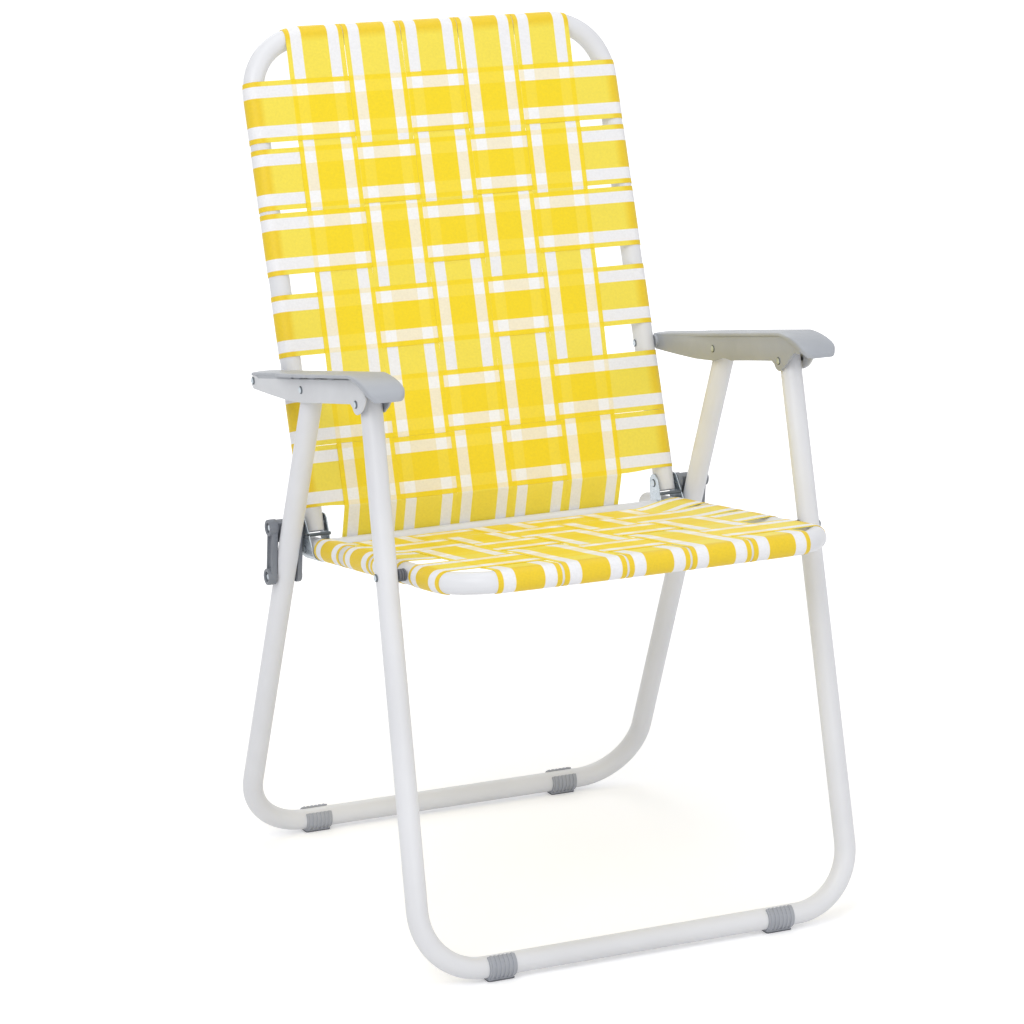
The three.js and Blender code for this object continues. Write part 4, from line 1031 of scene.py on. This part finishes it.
def cross_strap(body, j, row, dip):
    """One strap across a panel, round both side tubes, over and under the lengthwise straps."""
    on_back = body == "back"
    plane = back if on_back else seat
    places = [strap_place(i, share_at(on_back, row), on_back) for i in range(COUNT)]
    middles = [middle for middle, _ in places]
    height = ON_TUBE - dip
    lifts = [LIFT if (i + j) % 2 == (0 if on_back else 1) else -LIFT for i in range(COUNT)]
    slope = math.degrees(math.atan2(ON_TUBE - height, middles[0] - places[0][1] + PANEL_X))
    stations = []

    def round_tube(side, start, end, under):
        for k in range(WRAP_STEPS + 1):
            stations.append({"side": side, "angle": lerp(start, end, k / WRAP_STEPS),
                             "under": under, "wrap": 1.0})

    round_tube(-1, 90 + WRAP, 90 - slope, -CELL / 2)
    start = (-PANEL_X + ON_TUBE * math.sin(radians(slope)), ON_TUBE * math.cos(radians(slope)))
    end = (-start[0], start[1])
    for place, h, under in crossings_along(middles, [height] * COUNT, lifts, start, end):
        stations.append({"x": place, "h": h, "under": under, "middles": middles})
    round_tube(1, 90 + slope, 90 - WRAP, CELL * COUNT - CELL / 2)

    def surface(station, share, thick):
        at_tube = "side" in station
        along = row - share * HALF if on_back else row + share * HALF
        if on_back:
            near = 1.0 if at_tube else smooth((abs(station["x"]) - 160) / 35)
            along += max(BRACKET_TOP - along, 0.0) * near
            bend, beyond = BACK_BEND, along - (BACK_HEIGHT - BACK_BEND)
        else:
            bend, beyond = SEAT_BEND, SIDE_BEND_Y - along
        if at_tube:
            middle = (station["side"] * PANEL_X, 0.0)
            x, h = spot(middle, ON_TUBE + thick, station["angle"])
            if beyond > 0:
                x -= math.copysign(turned_in(beyond, bend, abs(x) - PANEL_X), x)
        else:
            x, h = fan(station, on_back, along), station["h"] + thick
            near = smooth((abs(station["x"]) - 172) / 33)
            x -= math.copysign(turned_in(beyond, bend, 0.0) * near, x)
        return plane.world(x, -h, along) if on_back else plane.world(x, along, h)

    name = f"{body}_cross_{j + 1}"
    strap(name, stations, surface, body, [f"{body}_cross_strap_{j + 1}"])
    add_screws(name, stations, surface, (("left", body), ("right", body)))


def lengthwise_strap(i):
    """One strap down the back, behind and under the crossbar, and forward over the seat."""
    stations = []
    reach = ON_TUBE + (0.05 if i in (0, COUNT - 1) else 0.0)

    def round_bar(plane, centre, radius, start, end, steps, **marks):
        for k in range(steps + 1):
            y, z = spot(centre, radius, lerp(start, end, k / steps))
            stations.append({"plane": plane, "y": y, "z": z, **marks})

    def cross(plane, rows, heights, above, first, last, base=0.0):
        lifts = [LIFT if (i + j) % 2 == above else -LIFT for j in range(len(rows))]
        for along, height, under in crossings_along(rows, heights, lifts, first, last, base):
            y, z = (-height, along) if plane is back else (along, height)
            stations.append({"plane": plane, "y": y, "z": z, "under": under})

    between = CELL * len(BACK_ROWS) - CELL / 2
    round_bar(back, (0, BACK_HEIGHT), reach, 180 - WRAP, 180, WRAP_STEPS, under=-CELL / 2, wrap=1.0)
    cross(back, BACK_ROWS, [ON_TUBE] * len(BACK_ROWS), 1, (BACK_HEIGHT, reach),
          (BACK_ROWS[-1] - HALF - 2.0, ON_TUBE))
    round_bar(seat, CROSSBAR, ON_CROSSBAR, 28.0 - RECLINE + SEAT_TILT, -123.0, 16,
              under=between, bar=True)
    cross(seat, SEAT_ROWS, [ON_TUBE - dip for dip in SEAT_DIPS], 0,
          (stations[-1]["y"], stations[-1]["z"]), (-SEAT_REACH, reach), between + CELL / 2)
    round_bar(seat, (-SEAT_REACH, 0), reach, 90, 90 + WRAP, WRAP_STEPS,
              under=between + CELL * len(SEAT_ROWS), wrap=1.0)

    flat = [s["plane"].world(0, s["y"], s["z"])[1:] for s in stations]
    for k, station in enumerate(stations):
        a, b = Vector(flat[max(k - 1, 0)]), Vector(flat[min(k + 1, len(flat) - 1)])
        way = (b - a).normalized()
        station["normal"] = (way.y, -way.x)

    def surface(station, share, thick):
        plane = station["plane"]
        on_back = plane is back
        ny, nz = station["normal"]
        y = station["y"] + (ny * plane.cos + nz * plane.sin) * thick
        z = station["z"] + (nz * plane.cos - ny * plane.sin) * thick
        along = 0.0 if station.get("bar") else share_at(on_back, z if on_back else y)
        middle, half = strap_place(i, min(max(along, 0.0), 1.0), on_back)
        x = middle + share * half
        # Near the top and the front the strap follows the bar's bends.
        top, front = BACK_HEIGHT - 3 * ON_TUBE, SEAT_ROWS[-1] - HALF
        if on_back and z > top:
            beyond = abs(x) - (PANEL_X - BACK_BEND)
            z -= turned_in(beyond, BACK_BEND, z - BACK_HEIGHT) * smooth((z - top) / ON_TUBE)
        elif not on_back and y < front:
            y += front_bar_y(x, -SEAT_REACH - y) * smooth((front - y) / 12)
        return plane.world(x, y, z)

    name = f"lengthwise_strap_{i + 1}"
    thing = strap(name, stations, surface, None, [f"back_strap_{i + 1}", f"seat_strap_{i + 1}"])
    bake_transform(thing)
    add_screws(name, stations, surface, (("top", "back"), ("front", "seat")))


# ---------- stage
# Here sizes are in metres: name, place, size and watts.
LAMPS = (
    ("key", (-2.3, -2.1, 3.0), 2.4, 42.0),
    ("fill", (2.8, -2.2, 1.9), 2.6, 8.0),
    ("front", (-0.7, -3.6, 0.9), 1.8, 14.0),
    ("top", (0.0, 0.0, 3.3), 2.0, 16.0),
    ("rim", (0.4, 3.0, 2.6), 2.4, 16.0),
)
LAMP_AIM = (0, 0, 0.4)
CAMERA_PLACE, CAMERA_AIM = (-1.6387, -3.41612, 1.3726), (0.00002, 0.04648, 0.38493)
CAMERA_LENS, CAMERA_SENSOR = 132.66, 36.0  # millimetres
FLOOR_HALF = 30.0
WHITE = (1.0, 1.0, 1.0, 1.0)


def add_aimed(name, data, place, target):
    thing = add_object(name, data)
    thing.location = place
    thing.rotation_euler = (Vector(target) - thing.location).to_track_quat("-Z", "Y").to_euler()
    return thing


def make_stage():
    size = FLOOR_HALF
    mesh = bpy.data.meshes.new("floor")
    corners = [(-size, -size, 0), (size, -size, 0), (size, size, 0), (-size, size, 0)]
    mesh.from_pydata(corners, [], [(0, 1, 2, 3)])
    floor = add_object("floor", mesh)
    g = Graph(bpy.data.materials.new("floor_paper"))
    away = g.node("ShaderNodeVectorMath", {0: g.place()}, out=1, operation="LENGTH")
    mesh.materials.append(g.finish(
        base_color=g.mix(g.noise(4.0), srgb(236, 236, 237), srgb(240, 240, 241)),
        roughness=0.9, specular_ior_level=0.1, emission_color=WHITE,
        emission_strength=g.math("MULTIPLY", g.seen(), g.ramp(away, 0.5, 2.6, 0.32, 0.6)),
    ))

    world = bpy.data.worlds.new("studio")
    bpy.context.scene.world = world
    g = Graph(world, "Background")
    g.finish(strength=g.ramp(g.seen(), 0.0, 1.0, 0.62, 1.0), color=WHITE)

    for name, place, size, power in LAMPS:
        lamp = bpy.data.lights.new(name, "AREA")
        lamp.shape = "DISK"
        lamp.size = size
        lamp.energy = power
        add_aimed(name, lamp, place, LAMP_AIM)

    lens = bpy.data.cameras.new("camera")
    lens.lens = CAMERA_LENS
    lens.sensor_width = CAMERA_SENSOR
    lens.clip_end = 200.0
    bpy.context.scene.camera = add_aimed("camera", lens, CAMERA_PLACE, CAMERA_AIM)
    bpy.context.scene.view_settings.view_transform = "Standard"


make_frames()
for word, hand in SIDES.items():
    make_fasteners(word, hand)
    make_bracket(word, hand)
    make_rail_cap(word, hand)
    make_link(word, hand)
    make_armrest(word, hand)
    make_foot("front_glide_" + word, hand * FRONT_GLIDE_X + GLIDE_SHIFT, FRONT_BAR, "front_legs",
              "front_foot_" + word, mouth=111, reach=280)
    make_foot("rear_glide_" + word, hand * REAR_GLIDE_X + GLIDE_SHIFT, REAR_BAR, "rear_legs",
              "rear_foot_" + word, mouth=138, reach=297)
for number, middle in enumerate(BACK_ROWS):
    cross_strap("back", number, middle, 0.0)
for number, middle in enumerate(SEAT_ROWS):
    cross_strap("seat", number, middle, SEAT_DIPS[number])
for number in range(COUNT):
    lengthwise_strap(number)
make_stage()
